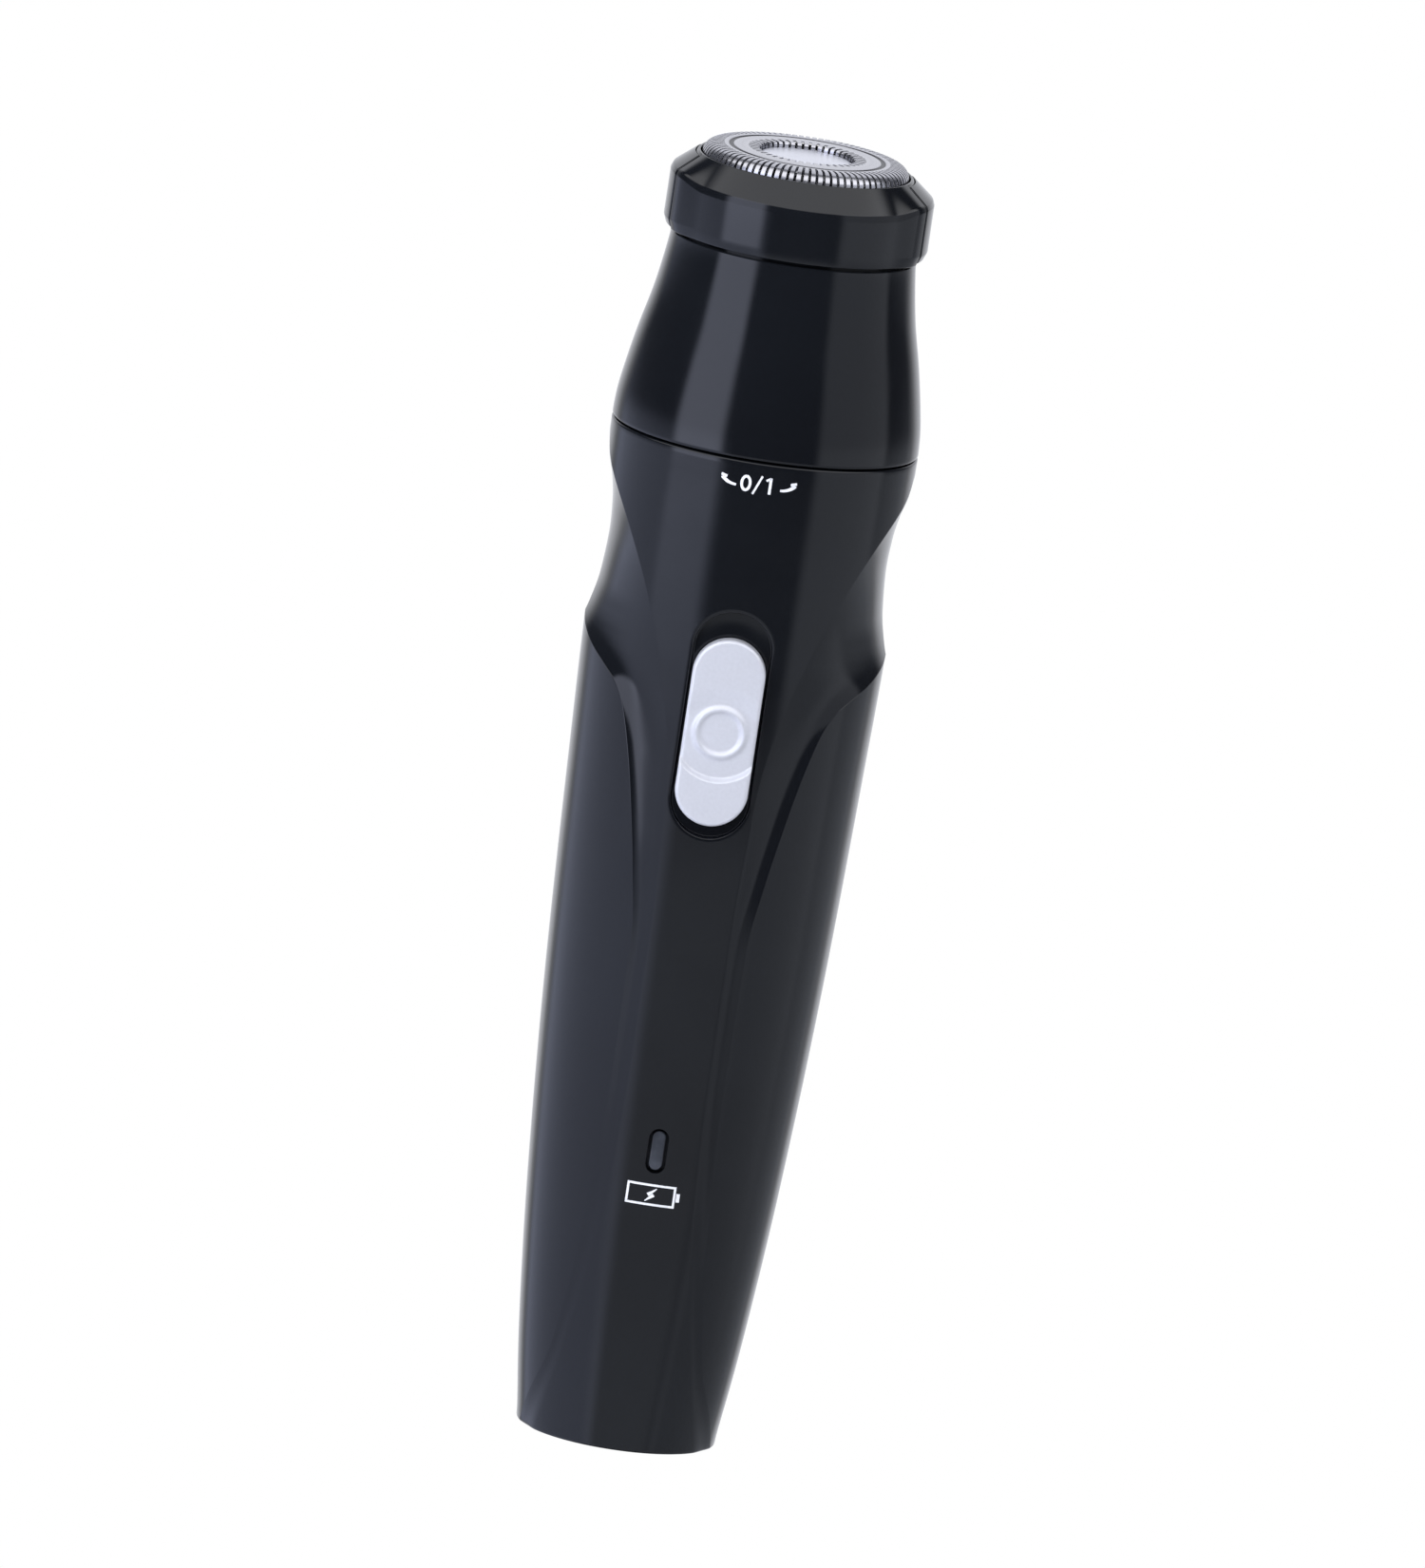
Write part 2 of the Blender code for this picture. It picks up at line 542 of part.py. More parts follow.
def cap():
    ring = [(CAP_MOUTH + 0.25, CAP_TOP), (CAP_RADIUS, CAP_SHOULDER), (CAP_RADIUS, CAP_BOTTOM),
            (13.2, CAP_BOTTOM), (13.2, 147.1), (CAP_MOUTH, 147.9), (CAP_MOUTH, CAP_TOP)]
    ring_part = turned("cap_ring", ring, BLACK_GLOSS, steps=44)
    side_walls(ring_part)
    turned("cutter_retainer", [(12.9, 144.5), (12.9, 143.0), (8.5, 143.0), (8.5, 144.5)], BLACK_MATT)
    tab = [(TAB_PIVOT_R, TAB_PIVOT_Z + 0.2), (15.1, 147.35), (TAB_RADIUS, 147.0), (TAB_RADIUS, 141.4),
           (15.1, 140.9), (14.9, TAB_BOTTOM), (14.75, TAB_BOTTOM), (14.75, 146.5),
           (TAB_PIVOT_R, TAB_PIVOT_Z - 0.2)]
    for name, side in (("release_tab_right", 1), ("release_tab_left", -1)):
        pivot = (side * TAB_PIVOT_R, 0, TAB_PIVOT_Z)
        part = turned(name, tab, BLACK_GLOSS, steps=96)
        low_x, high_x = sorted((side * 10, side * 20))
        wedge = block(name + "_keep", (low_x, -TAB_HALF_WIDTH, 135), (high_x, TAB_HALF_WIDTH, 155), None)
        boolean(part, wedge, "INTERSECT")
        set_origin(part, pivot)


def side_walls(ring_part):
    """Join the walls that frame each tab, flush with it, to the cap ring."""
    wall = [(12.8, 149.2), (15.1, 147.35), (TAB_RADIUS, 147.0), (TAB_RADIUS, 141.4), (14.9, TAB_BOTTOM),
            (13.9, TAB_BOTTOM), (13.9, 146.6), (12.6, 148.8)]
    walls = turned("side_wall_joiner", wall, None, steps=96)
    slot = TAB_HALF_WIDTH + GAP
    boolean(walls, block("side_wall_keep", (-20, -GUARD_HALF_WIDTH, 135), (20, GUARD_HALF_WIDTH, 155), None),
            "INTERSECT")
    boolean(walls, block("side_wall_slot", (-21, -slot, 134), (21, slot, 156), None))
    boolean(ring_part, walls, "UNION")


def set_origin(obj, point):
    """Put the object's origin at a point by baking its modifiers and shifting its mesh."""
    bpy.context.view_layer.update()
    mesh = bpy.data.meshes.new_from_object(obj.evaluated_get(bpy.context.evaluated_depsgraph_get()))
    obj.modifiers.clear()
    obj.data = mesh
    shift = Vector(point) * MM
    for vert in mesh.vertices:
        vert.co -= shift
    obj.location += shift


def foil_and_cutter():
    shoulder, under = FOIL_RADIUS - 0.4, FOIL_TOP - 0.6
    foil = [(0, FOIL_TOP - 1.6), (5.45, FOIL_TOP - 1.6), (5.45, FOIL_TOP), (shoulder, FOIL_TOP),
            (FOIL_RADIUS, FOIL_TOP - 0.4), (FOIL_RADIUS, 146.8), (12.9, 146.8), (12.9, 146.2),
            (FOIL_RADIUS - 0.5, 146.2), (FOIL_RADIUS - 0.5, under), (5.95, under), (5.95, FOIL_TOP - 2.1),
            (0, FOIL_TOP - 2.1)]
    turned("shaving_foil", foil, STEEL, steps=40, closed=False)
    rod("foil_badge", 5.1, FOIL_TOP - 1.25, FOIL_TOP - 0.7, SILVER, segments=32)
    blade_top, plate_top, plate_bottom = FOIL_TOP - 1.0, FOIL_TOP - 2.5, FOIL_TOP - 3.3
    cutter = [(9.6, blade_top), (11.1, blade_top), (11.1, plate_bottom), (2.2, plate_bottom),
              (2.2, plate_top), (6.3, plate_top), (6.3, blade_top), (8.0, blade_top), (8.0, plate_top),
              (9.6, plate_top)]
    turned("inner_cutter", cutter, STEEL)
    neck_top, neck_bottom = plate_top - 0.2, plate_bottom - GAP
    hub = [(0, neck_top), (1.9, neck_top), (1.9, neck_bottom), (3.2, neck_bottom), (3.2, 141.5), (0, 141.5)]
    hub_part = turned("cutter_hub", hub, WHITE_PLASTIC, steps=28, closed=False)
    socket = block("hub_socket", (-1.5, -1.5, 140.0), (1.5, 1.5, 145.9), None)
    boolean(hub_part, socket)


def leads():
    wire("battery_lead_red", [(3, -1.2, 66.1), (3, -3.0, 67.1), (3, -5.0, 68.0), (3, -7.05, 68.2)], 0.5,
         RED_LEAD)
    wire("battery_lead_black", [(-3, -1.2, 13.2), (-3, -3.8, 13.3), (-3, -5.6, 14.8), (-3, -6.0, 17.2),
                                (-3, -7.0, 19.0)], 0.5, BLACK_LEAD)
    for name, side, spec in (("motor_lead_red", 1, RED_LEAD), ("motor_lead_black", -1, BLACK_LEAD)):
        route = [(side * 4.5, -3.0, 77.6), (side * 4.6, -3.4, 75.6), (side * 4.8, -4.6, 72.4),
                 (side * 5.0, -5.8, 70.6), (side * 5.0, -7.0, 70.0)]
        wire(name, route, 0.5, spec)


handle_shells()
switch()
charge_window()
charging_socket()
battery()
circuit_board()
neck(motor())
head()
cap()
foil_and_cutter()
leads()
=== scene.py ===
"""Looks of the rotary foil shaver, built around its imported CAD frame.

Lengths are in millimetres inside the modelling functions and are turned into metres by MM. The lengths
in materials, lamps and the camera are in metres. The switch faces -Y, +Z runs up to the foil, and the
camera looks along +Y from a little above, rolled so that the shaver leans.
"""

import math

import bmesh
import bpy
import numpy as np
from mathutils import Matrix, Vector


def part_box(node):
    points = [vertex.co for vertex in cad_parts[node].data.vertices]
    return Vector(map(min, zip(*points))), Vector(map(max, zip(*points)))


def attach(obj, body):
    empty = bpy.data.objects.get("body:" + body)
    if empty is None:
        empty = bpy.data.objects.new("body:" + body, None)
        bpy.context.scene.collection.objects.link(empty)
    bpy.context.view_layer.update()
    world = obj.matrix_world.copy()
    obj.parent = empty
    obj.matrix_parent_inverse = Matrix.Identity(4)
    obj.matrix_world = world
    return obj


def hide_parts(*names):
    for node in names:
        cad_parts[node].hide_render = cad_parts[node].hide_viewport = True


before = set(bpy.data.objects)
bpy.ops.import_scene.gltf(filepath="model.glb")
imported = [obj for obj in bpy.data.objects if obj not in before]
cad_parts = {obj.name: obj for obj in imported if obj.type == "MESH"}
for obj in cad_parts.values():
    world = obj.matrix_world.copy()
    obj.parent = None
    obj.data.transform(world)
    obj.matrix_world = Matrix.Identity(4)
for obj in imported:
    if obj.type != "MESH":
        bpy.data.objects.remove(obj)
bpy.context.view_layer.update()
MM = 0.001


def node_box(node):
    """Lowest and highest corner of a CAD node, in millimetres."""
    low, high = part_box(node)
    return np.array(low) / MM, np.array(high) / MM


# ---------------- sizes, in millimetres
HANDLE_TOP = node_box("front_shell")[1][2]
NECK_RADIUS = 17.7
SHELL_WALL = 1.6
SEAM_GAP = 0.04
TONGUE_DEPTH, TONGUE_HALF_WIDTH = 0.5, 0.3
FOOT_ROUND = 0.35
RIM_ROUND = 0.28
CUTTER_REACH = 40.0
# The handle's curves, as (height, value) points: its half width and half depth, the half width of its
# raised spine, the angle in degrees from the front to the wing's edge, the depth of the scoop between
# spine and wing, and the length over which the scoop runs out at the wing's edge.
HALF_WIDTH = [(0, 11.4), (10, 12.7), (30, 14.5), (55, 16.0), (80, 16.95), (94.4, 17.4),
              (117.8, NECK_RADIUS)]
HALF_DEPTH = [(0, 11.6), (12, 12.75), (35, 14.4), (60, 15.9), (73, 16.6), (86, 17.1), (100, 17.4),
              (117.8, NECK_RADIUS)]
SPINE_EDGE = [(0, 9.3), (10, 7.5), (25, 5.4), (45, 4.35), (62, 4.35), (80, 5.3), (90, 7.3), (100, 10.6),
              (108, 14.4), (113.5, 17.6)]
WING_ANGLE = [(0, 74.8), (11, 42.8), (25, 30.7), (45, 24.8), (60, 24.0), (68.9, 27.8), (73.9, 30.9),
              (79.8, 35.2), (84.2, 39.4), (87, 43.2), (88.8, 48.0), (90.2, 55.5), (91.6, 66.0),
              (93, 78.0), (94.4, 90.0), (98, 116.8), (118, 265.6)]
SCOOP_DEPTH = [(0, 0.35), (12, 0.25), (30, 0.2), (55, 0.24), (70, 0.42), (80, 0.75), (88, 1.3),
               (92, 1.7), (94.4, 1.8), (97, 1.66), (100, 1.62), (103.8, 1.66), (108, 1.4), (111, 0.89),
               (113.1, 0.32), (115.5, 0.0)]
WING_EASE = [(0, 2.2), (55, 1.8), (75, 1.3), (82, 1.5), (88, 2.6), (92, 4.2), (94.4, 4.8), (99, 3.6),
             (118, 3.2)]
CRISP_START, CRISP_LENGTH = 72.0, 14.0
SWITCH_Z = sum(node_box("slide_button"))[2] / 2
RECESS_WIDTH, RECESS_BOTTOM, RECESS_TOP, RECESS_FLOOR = 9.0, 73.3, 99.8, 15.9
RECESS_HEIGHT, RECESS_Z = RECESS_TOP - RECESS_BOTTOM, (RECESS_TOP + RECESS_BOTTOM) / 2
RECESS_RIM = 0.5
MARK_Z, PICTOGRAM_Z = 114.7, 30.7
INK_THICKNESS = 0.012
# The bell's outer face, as (height, radius) points.
BELL_OUTLINE = [(140.0, 14.1), (137.6, 14.4), (133.1, 15.1), (127.8, 16.3), (122.6, 17.25),
                (120.1, 17.6), (117.8, NECK_RADIUS)]
BELL_WALL = 1.5
RING_RADIUS = 14.6
SWELL_EDGE, SWELL_LENGTH = 9.2, 3.6
TAB_HALF_WIDTH, TAB_RADIUS = 4.5, 15.25
FOIL_TOP = node_box("shaving_foil")[1][2]
FOIL_THICKNESS = 0.14
BLADES, BLADE_THICKNESS, BLADE_SLANT = 18, 0.28, 0.5
BLADE_TRACKS = ((6.3, 8.0), (9.6, 11.1))


# ---------------- curves and outlines
def fair(points, z):
    """A fair curve through (z, value) points, which never overshoots them; z may be an array."""
    points = sorted(points)
    knots = np.array([p[0] for p in points], dtype=float)
    values = np.array([p[1] for p in points], dtype=float)
    chords = np.diff(values) / np.diff(knots)
    slopes = np.concatenate([[chords[0]], np.zeros(len(knots) - 2), [chords[-1]]])
    before, after = chords[:-1], chords[1:]
    same = before * after > 0
    slopes[1:-1][same] = 2 * before[same] * after[same] / (before[same] + after[same])
    z = np.clip(z, knots[0], knots[-1])
    i = np.clip(np.searchsorted(knots, z, side="right") - 1, 0, len(knots) - 2)
    step = knots[i + 1] - knots[i]
    t = (z - knots[i]) / step
    rise = (values[i + 1] - values[i]) * (3 * t * t - 2 * t ** 3)
    leaving = slopes[i] * step * (t ** 3 - 2 * t * t + t)
    arriving = slopes[i + 1] * step * (t ** 3 - t * t)
    return values[i] + rise + leaving + arriving


def flowing(points, z, blur=2.2):
    """The fair curve with its changes of bend eased over a few millimetres."""
    z = np.asarray(z, dtype=float)
    offsets = np.linspace(-2, 2, 9)
    weights = np.exp(-offsets ** 2)
    total = sum(w * fair(points, z + o * blur) for o, w in zip(offsets, weights))
    return total / weights.sum()


def smoothstep(t):
    """A step from 0 to 1 that starts and ends gently."""
    t = np.clip(t, 0.0, 1.0)
    return t * t * (3 - 2 * t)


def pill(width, height, per_end=24):
    """Outline of a slot with round ends, height along its second axis."""
    radius = width / 2
    straight = height / 2 - radius
    points = []
    for side, start in ((1, 0.0), (-1, math.pi)):
        for i in range(per_end + 1):
            turn = start + math.pi * i / per_end
            points.append((radius * math.cos(turn), side * straight + radius * math.sin(turn)))
    return points


def rounded(corners, steps=5, keep_count=False):
    """A closed (r, z) outline from (r, z, radius) corners, each rounded by an arc of steps.

    With keep_count, a corner too flat to round still gives its full number of points.
    """
    points = []
    count = len(corners)
    for i, (r, z, radius) in enumerate(corners):
        here = np.array([r, z], dtype=float)
        back = np.array(corners[i - 1][:2], dtype=float) - here
        ahead = np.array(corners[(i + 1) % count][:2], dtype=float) - here
        if radius <= 0:
            points.append(tuple(here))
            continue
        back, ahead = back / np.linalg.norm(back), ahead / np.linalg.norm(ahead)
        half = math.acos(np.clip(back @ ahead, -1, 1)) / 2
        if half > math.radians(89.5):
            points += [tuple(here)] * (steps + 1 if keep_count else 1)
            continue
        middle = here + (back + ahead) / np.linalg.norm(back + ahead) * radius / math.sin(half)
        reach = radius / math.tan(half)
        first, last = here + back * reach - middle, here + ahead * reach - middle
        sweep = math.pi - 2 * half
        turn = math.copysign(1, first[0] * last[1] - first[1] * last[0])
        for k in range(steps + 1):
            a = turn * sweep * k / steps
            points.append((middle[0] + first[0] * math.cos(a) - first[1] * math.sin(a),
                           middle[1] + first[0] * math.sin(a) + first[1] * math.cos(a)))
    return points


# ---------------- mesh helpers
def new_object(name, data):
    obj = bpy.data.objects.new(name, data)
    bpy.context.scene.collection.objects.link(obj)
    return obj


def mesh_object(name, points, faces, weld=0.0):
    """An object with its faces pointing out; points nearer than weld become one."""
    mesh = bpy.data.meshes.new(name)
    metres = np.asarray(points, dtype=float) * MM
    mesh.from_pydata([tuple(p) for p in metres], [], [tuple(f) for f in faces])
    bm = bmesh.new()
    bm.from_mesh(mesh)
    if weld:
        bmesh.ops.remove_doubles(bm, verts=bm.verts, dist=weld * MM)
    bmesh.ops.recalc_face_normals(bm, faces=bm.faces)
    bm.to_mesh(mesh)
    bm.free()
    return new_object(name, mesh)


def grid_faces(rows, columns, wrap_rows=False, wrap_columns=False, keep=None):
    """Quads of a grid of points; keep(row, column) can leave cells out."""
    faces = []
    for i in range(rows if wrap_rows else rows - 1):
        for j in range(columns if wrap_columns else columns - 1):
            if keep is None or keep(i, j):
                k, m = (i + 1) % rows, (j + 1) % columns
                faces.append((i * columns + j, i * columns + m, k * columns + m, k * columns + j))
    return faces


def lathe(name, outline, segments=160, closed=True):
    """A turned piece from an (r, z) outline."""
    turns = np.linspace(0, math.tau, segments + 1)[:-1]
    outline = np.array(outline, dtype=float)
    points = np.zeros((len(outline), segments, 3))
    points[:, :, 0] = outline[:, :1] * np.cos(turns)
    points[:, :, 1] = outline[:, :1] * np.sin(turns)
    points[:, :, 2] = outline[:, 1:]
    faces = grid_faces(len(outline), segments, wrap_rows=closed, wrap_columns=True)
    return mesh_object(name, points.reshape(-1, 3), faces, weld=0.0005)


def prism(name, outline, low_y, high_y, centre_z):
    """A solid of an (x, z) outline between two depths along Y."""
    count = len(outline)
    points = [(x, y, z + centre_z) for y in (low_y, high_y) for x, z in outline]
    faces = [tuple(range(count)), tuple(range(2 * count - 1, count - 1, -1))]
    faces += [(i, (i + 1) % count, count + (i + 1) % count, count + i) for i in range(count)]
    return mesh_object(name, points, faces)


def box_mesh(name, low, high):
    """A box between two corners."""
    points = [(x, y, z) for z in (low[2], high[2]) for y in (low[1], high[1]) for x in (low[0], high[0])]
    faces = [(0, 2, 3, 1), (4, 5, 7, 6), (0, 1, 5, 4), (2, 6, 7, 3), (0, 4, 6, 2), (1, 3, 7, 5)]
    return mesh_object(name, points, faces)


def apply_modifiers(obj):
    """Replace the object's mesh by its evaluated one."""
    bpy.context.view_layer.update()
    evaluated = obj.evaluated_get(bpy.context.evaluated_depsgraph_get())
    mesh = bpy.data.meshes.new_from_object(evaluated)
    obj.modifiers.clear()
    obj.data = mesh
    return obj


def cut(obj, *cutters, operation="DIFFERENCE"):
    """Apply Booleans with cutters, which stay usable."""
    for cutter in cutters:
        step = obj.modifiers.new("cut", "BOOLEAN")
        step.operation = operation
        step.solver = "MANIFOLD"
        step.object = cutter
    return apply_modifiers(obj)


def thicken(obj, thickness, offset=-1.0):
    """Give a sheet a wall: behind its face by default, on both sides of it with no offset."""
    step = obj.modifiers.new("wall", "SOLIDIFY")
    step.thickness = thickness * MM
    step.offset = offset
    step.use_even_offset = True
    return apply_modifiers(obj)


def discard(*objects):
    for obj in objects:
        bpy.data.objects.remove(obj, do_unlink=True)


def paint(obj, mat):
    obj.data.materials.clear()
    obj.data.materials.append(mat)


def finish_piece(obj, body, mat, replaces=(), sharp=35.0):
    """Shade, colour and attach a piece to its body."""
    obj.data.shade_smooth()
    obj.data.set_sharp_from_angle(angle=math.radians(sharp))
    paint(obj, mat)
    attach(obj, body)
    if replaces:
        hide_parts(*replaces)
    return obj


# ---------------- materials, with lengths in metres
def math_node(tree, operation, *values):
    """The result of a Math node whose inputs are numbers or other nodes' outputs."""
    step = tree.nodes.new("ShaderNodeMath")
    step.operation = operation
    for socket, value in zip(step.inputs, values):
        if isinstance(value, (int, float)):
            socket.default_value = value
        else:
            tree.links.new(value, socket)
    return step.outputs["Value"]


class Look:
    """A Principled material and the few node moves the looks below share."""

    def __init__(self, name, colour, roughness, metallic=0.0, ior=1.46, coat=0.0):
        self.material = bpy.data.materials.new(name)
        self.material.use_nodes = True
        self.tree = self.material.node_tree
        self.nodes, self.links = self.tree.nodes, self.tree.links
        self.shader = self.nodes["Principled BSDF"]
        self.set("Base Color", (*colour, 1.0))
        self.set("Roughness", roughness)
        self.set("Metallic", metallic)
        self.set("IOR", ior)
        self.set("Coat Weight", coat)
        self.position = self.nodes.new("ShaderNodeTexCoord").outputs["Object"]

    def set(self, socket, value):
        self.shader.inputs[socket].default_value = value

    def stretched(self, scale):
        """The position, scaled along each axis."""
        step = self.nodes.new("ShaderNodeMapping")
        step.inputs["Scale"].default_value = scale
        self.links.new(self.position, step.inputs["Vector"])
        return step.outputs["Vector"]

    def noise(self, scale, detail=3.0, vector=None):
        step = self.nodes.new("ShaderNodeTexNoise")
        step.inputs["Scale"].default_value = scale
        step.inputs["Detail"].default_value = detail
        self.links.new(vector or self.position, step.inputs["Vector"])
        return step.outputs["Fac"]

    def ramp(self, value, low, high, start=0.3, end=0.7):
        """Turn a 0 to 1 value into a colour between low and high."""
        step = self.nodes.new("ShaderNodeValToRGB")
        step.color_ramp.elements[0].position = start
        step.color_ramp.elements[1].position = end
        step.color_ramp.elements[0].color = (*low, 1.0)
        step.color_ramp.elements[1].color = (*high, 1.0)
        self.links.new(value, step.inputs["Fac"])
        return step.outputs["Color"]

    def span(self, value, low, high, start=0.3, end=0.7):
        """Map a value between start and end onto low to high."""
        step = self.nodes.new("ShaderNodeMapRange")
        limits = {"From Min": start, "From Max": end, "To Min": low, "To Max": high}
        for socket, number in limits.items():
            step.inputs[socket].default_value = number
        self.links.new(value, step.inputs["Value"])
        return step.outputs["Result"]

    def math(self, operation, *values):
        return math_node(self.tree, operation, *values)

    def radius(self):
        """Distance from the Z axis, in metres."""
        parts = self.nodes.new("ShaderNodeSeparateXYZ")
        self.links.new(self.position, parts.inputs["Vector"])
        squares = [self.math("MULTIPLY", parts.outputs[axis], parts.outputs[axis]) for axis in "XY"]
        return self.math("SQRT", self.math("ADD", *squares))

    def bump(self, height, strength, distance):
        step = self.nodes.new("ShaderNodeBump")
        step.inputs["Strength"].default_value = strength
        step.inputs["Distance"].default_value = distance
        self.links.new(height, step.inputs["Height"])
        self.links.new(step.outputs["Normal"], self.shader.inputs["Normal"])

    def drive(self, socket, value):
        self.links.new(value, self.shader.inputs[socket])


def polished_black():
    """Glossy black plastic with the faint waviness of a moulding."""
    look = Look("polished_black", (0.004, 0.005, 0.007), 0.1, ior=1.45)
    look.drive("Roughness", look.span(look.noise(90.0, 4.0), 0.085, 0.15))
    look.drive("Base Color", look.ramp(look.noise(35.0), (0.003, 0.0035, 0.005), (0.005, 0.006, 0.008)))
    look.bump(look.noise(160.0, 2.0), 0.08, 0.00006)
    return look.material


def moulded(name, colour, roughness=0.45, grain=900.0):
    """Plain moulded plastic with a fine grain."""
    look = Look(name, colour, roughness)
    darker = tuple(c * 0.8 for c in colour)
    look.drive("Base Color", look.ramp(look.noise(60.0, 4.0), darker, colour))
    look.drive("Roughness", look.span(look.noise(200.0), roughness - 0.06, roughness + 0.06))
    look.bump(look.noise(grain, 2.0), 0.25, 0.00004)
    return look.material


def satin_silver(name, colour, metallic):
    """Silver lacquer, more like metal or more like paint."""
    look = Look(name, colour, 0.34, metallic=metallic)
    darker = tuple(c * 0.95 for c in colour)
    look.drive("Base Color", look.ramp(look.noise(2600.0, 2.0), darker, colour))
    look.drive("Roughness", look.span(look.noise(300.0), 0.28, 0.36))
    look.bump(look.noise(1800.0, 2.0), 0.06, 0.00002)
    return look.material


def lapped_metal(name, colour, roughness, groove, groove_width):
    """Metal lapped about Z, with fine rings and a rougher groove at one radius, in millimetres, darkened
    as painted shade.
    """
    look = Look(name, colour, roughness, metallic=1.0)
    radius = look.radius()
    vector = look.nodes.new("ShaderNodeCombineXYZ")
    look.links.new(radius, vector.inputs["X"])
    lines = look.noise(1500.0, 2.0, vector.outputs["Vector"])
    off = look.math("ABSOLUTE", look.math("SUBTRACT", radius, groove * MM))
    rough_and_shaded_groove = look.span(off, 1.0, 0.0, groove_width / 2 * MM, (groove_width / 2 + 0.12) * MM)
    look.drive("Roughness", look.math("ADD", look.span(lines, roughness - 0.05, roughness + 0.06),
                                      look.math("MULTIPLY", rough_and_shaded_groove, 0.15)))
    # Painted shade: the groove's colour is darkened to a fifth, standing in for the shade and dark
    # reflection in the groove.
    look.drive("Base Color", look.ramp(rough_and_shaded_groove, colour, tuple(c * 0.22 for c in colour), 0.0, 1.0))
    look.bump(lines, 0.02, 0.00001)
    return look.material


def drawn_metal(name, colour, roughness=0.3):
    """Rolled or drawn metal with faint streaks along Z."""
    look = Look(name, colour, roughness, metallic=1.0)
    streaks = look.noise(900.0, 3.0, look.stretched((1.0, 1.0, 0.06)))
    look.drive("Roughness", look.span(streaks, roughness - 0.08, roughness + 0.08))
    look.drive("Base Color", look.ramp(look.noise(80.0), tuple(c * 0.8 for c in colour), colour))
    look.bump(streaks, 0.1, 0.00002)
    return look.material


def smoked_lens():
    look = Look("smoked_lens", (0.03, 0.033, 0.04), 0.06, ior=1.5)
    look.drive("Base Color", look.ramp(look.noise(400.0), (0.022, 0.025, 0.03), (0.06, 0.065, 0.08)))
    look.drive("Roughness", look.span(look.noise(250.0), 0.05, 0.12))
    return look.material


def ink():
    look = Look("pad_print", (0.68, 0.69, 0.72), 0.5)
    look.drive("Base Color", look.ramp(look.noise(2400.0), (0.58, 0.59, 0.62), (0.74, 0.75, 0.78),
                                       0.25, 0.5))
    look.bump(look.noise(3000.0), 0.2, 0.00001)
    return look.material


def copper_winding():
    look = Look("copper_winding", (0.62, 0.25, 0.10), 0.35, metallic=1.0)
    turns = look.nodes.new("ShaderNodeTexWave")
    turns.bands_direction = "Z"
    turns.inputs["Scale"].default_value = 1100.0
    turns.inputs["Distortion"].default_value = 0.6
    look.links.new(look.position, turns.inputs["Vector"])
    look.drive("Base Color", look.ramp(turns.outputs["Fac"], (0.25, 0.08, 0.03), (0.70, 0.30, 0.13)))
    look.bump(turns.outputs["Fac"], 0.5, 0.0001)
    return look.material


def circuit_green():
    look = Look("solder_resist", (0.01, 0.12, 0.05), 0.35)
    cells = look.nodes.new("ShaderNodeTexVoronoi")
    cells.inputs["Scale"].default_value = 420.0
    cells.distance = "MANHATTAN"
    look.links.new(look.position, cells.inputs["Vector"])
    look.drive("Base Color", look.ramp(cells.outputs["Distance"], (0.03, 0.24, 0.11),
                                       (0.008, 0.10, 0.045), 0.1, 0.2))
    look.drive("Roughness", look.span(look.noise(500.0), 0.28, 0.45))
    return look.material


def cell_sleeve():
    """A green sleeve that gives way to bare metal above one height."""
    look = Look("cell_sleeve", (0.02, 0.22, 0.10), 0.3)
    parts = look.nodes.new("ShaderNodeSeparateXYZ")
    look.links.new(look.position, parts.inputs["Vector"])
    above = look.span(parts.outputs["Z"], 0.0, 1.0, 0.0555, 0.0565)
    look.drive("Base Color", look.ramp(above, (0.012, 0.17, 0.075), (0.75, 0.76, 0.78), 0.4, 0.6))
    look.drive("Roughness", look.span(look.noise(150.0), 0.24, 0.4))
    return look.material


BLACK = polished_black()
MATT = moulded("moulded_black", (0.02, 0.02, 0.022), 0.5)
GREY = moulded("moulded_grey", (0.17, 0.18, 0.19), 0.45)
ACETAL = moulded("natural_acetal", (0.74, 0.73, 0.70), 0.38, 500.0)
SILVER = satin_silver("satin_silver", (0.57, 0.58, 0.63), 0.22)
BADGE = satin_silver("silver_disc", (0.78, 0.79, 0.86), 0.85)
FOIL_STEEL = lapped_metal("lapped_foil", (0.53, 0.53, 0.57), 0.25, 8.8, 0.45)
STEEL = drawn_metal("bright_steel", (0.55, 0.56, 0.58))
NICKEL = drawn_metal("nickel_plate", (0.66, 0.63, 0.56), 0.25)
BRASS = drawn_metal("plain_brass", (0.72, 0.52, 0.22), 0.28)
RUBBER = moulded("seal_rubber", (0.02, 0.02, 0.02), 0.75, 600.0)
FERRITE = moulded("sintered_ferrite", (0.06, 0.06, 0.065), 0.7, 1400.0)
RED = moulded("red_insulation", (0.45, 0.012, 0.01), 0.45)
DARK_LEAD = moulded("black_insulation", (0.012, 0.012, 0.012), 0.45)
LENS = smoked_lens()
INK = ink()
COPPER = copper_winding()
BOARD = circuit_green()
SLEEVE = cell_sleeve()


# ---------------- the handle's skin
WING_SPAN = [(z, min(angle, 90.0)) for z, angle in WING_ANGLE]
WING_LINE_Z = np.arange(0.0, HANDLE_TOP + 6.0, 0.1)
WING_LINE = np.radians(fair(WING_ANGLE, WING_LINE_Z))
POINTS_AT_ONCE = 2000


def spine_angle(z):
    """Angle from the front at which the spine's edge lies."""
    return np.arcsin(np.minimum(flowing(SPINE_EDGE, z) / flowing(HALF_WIDTH, z), 0.995))


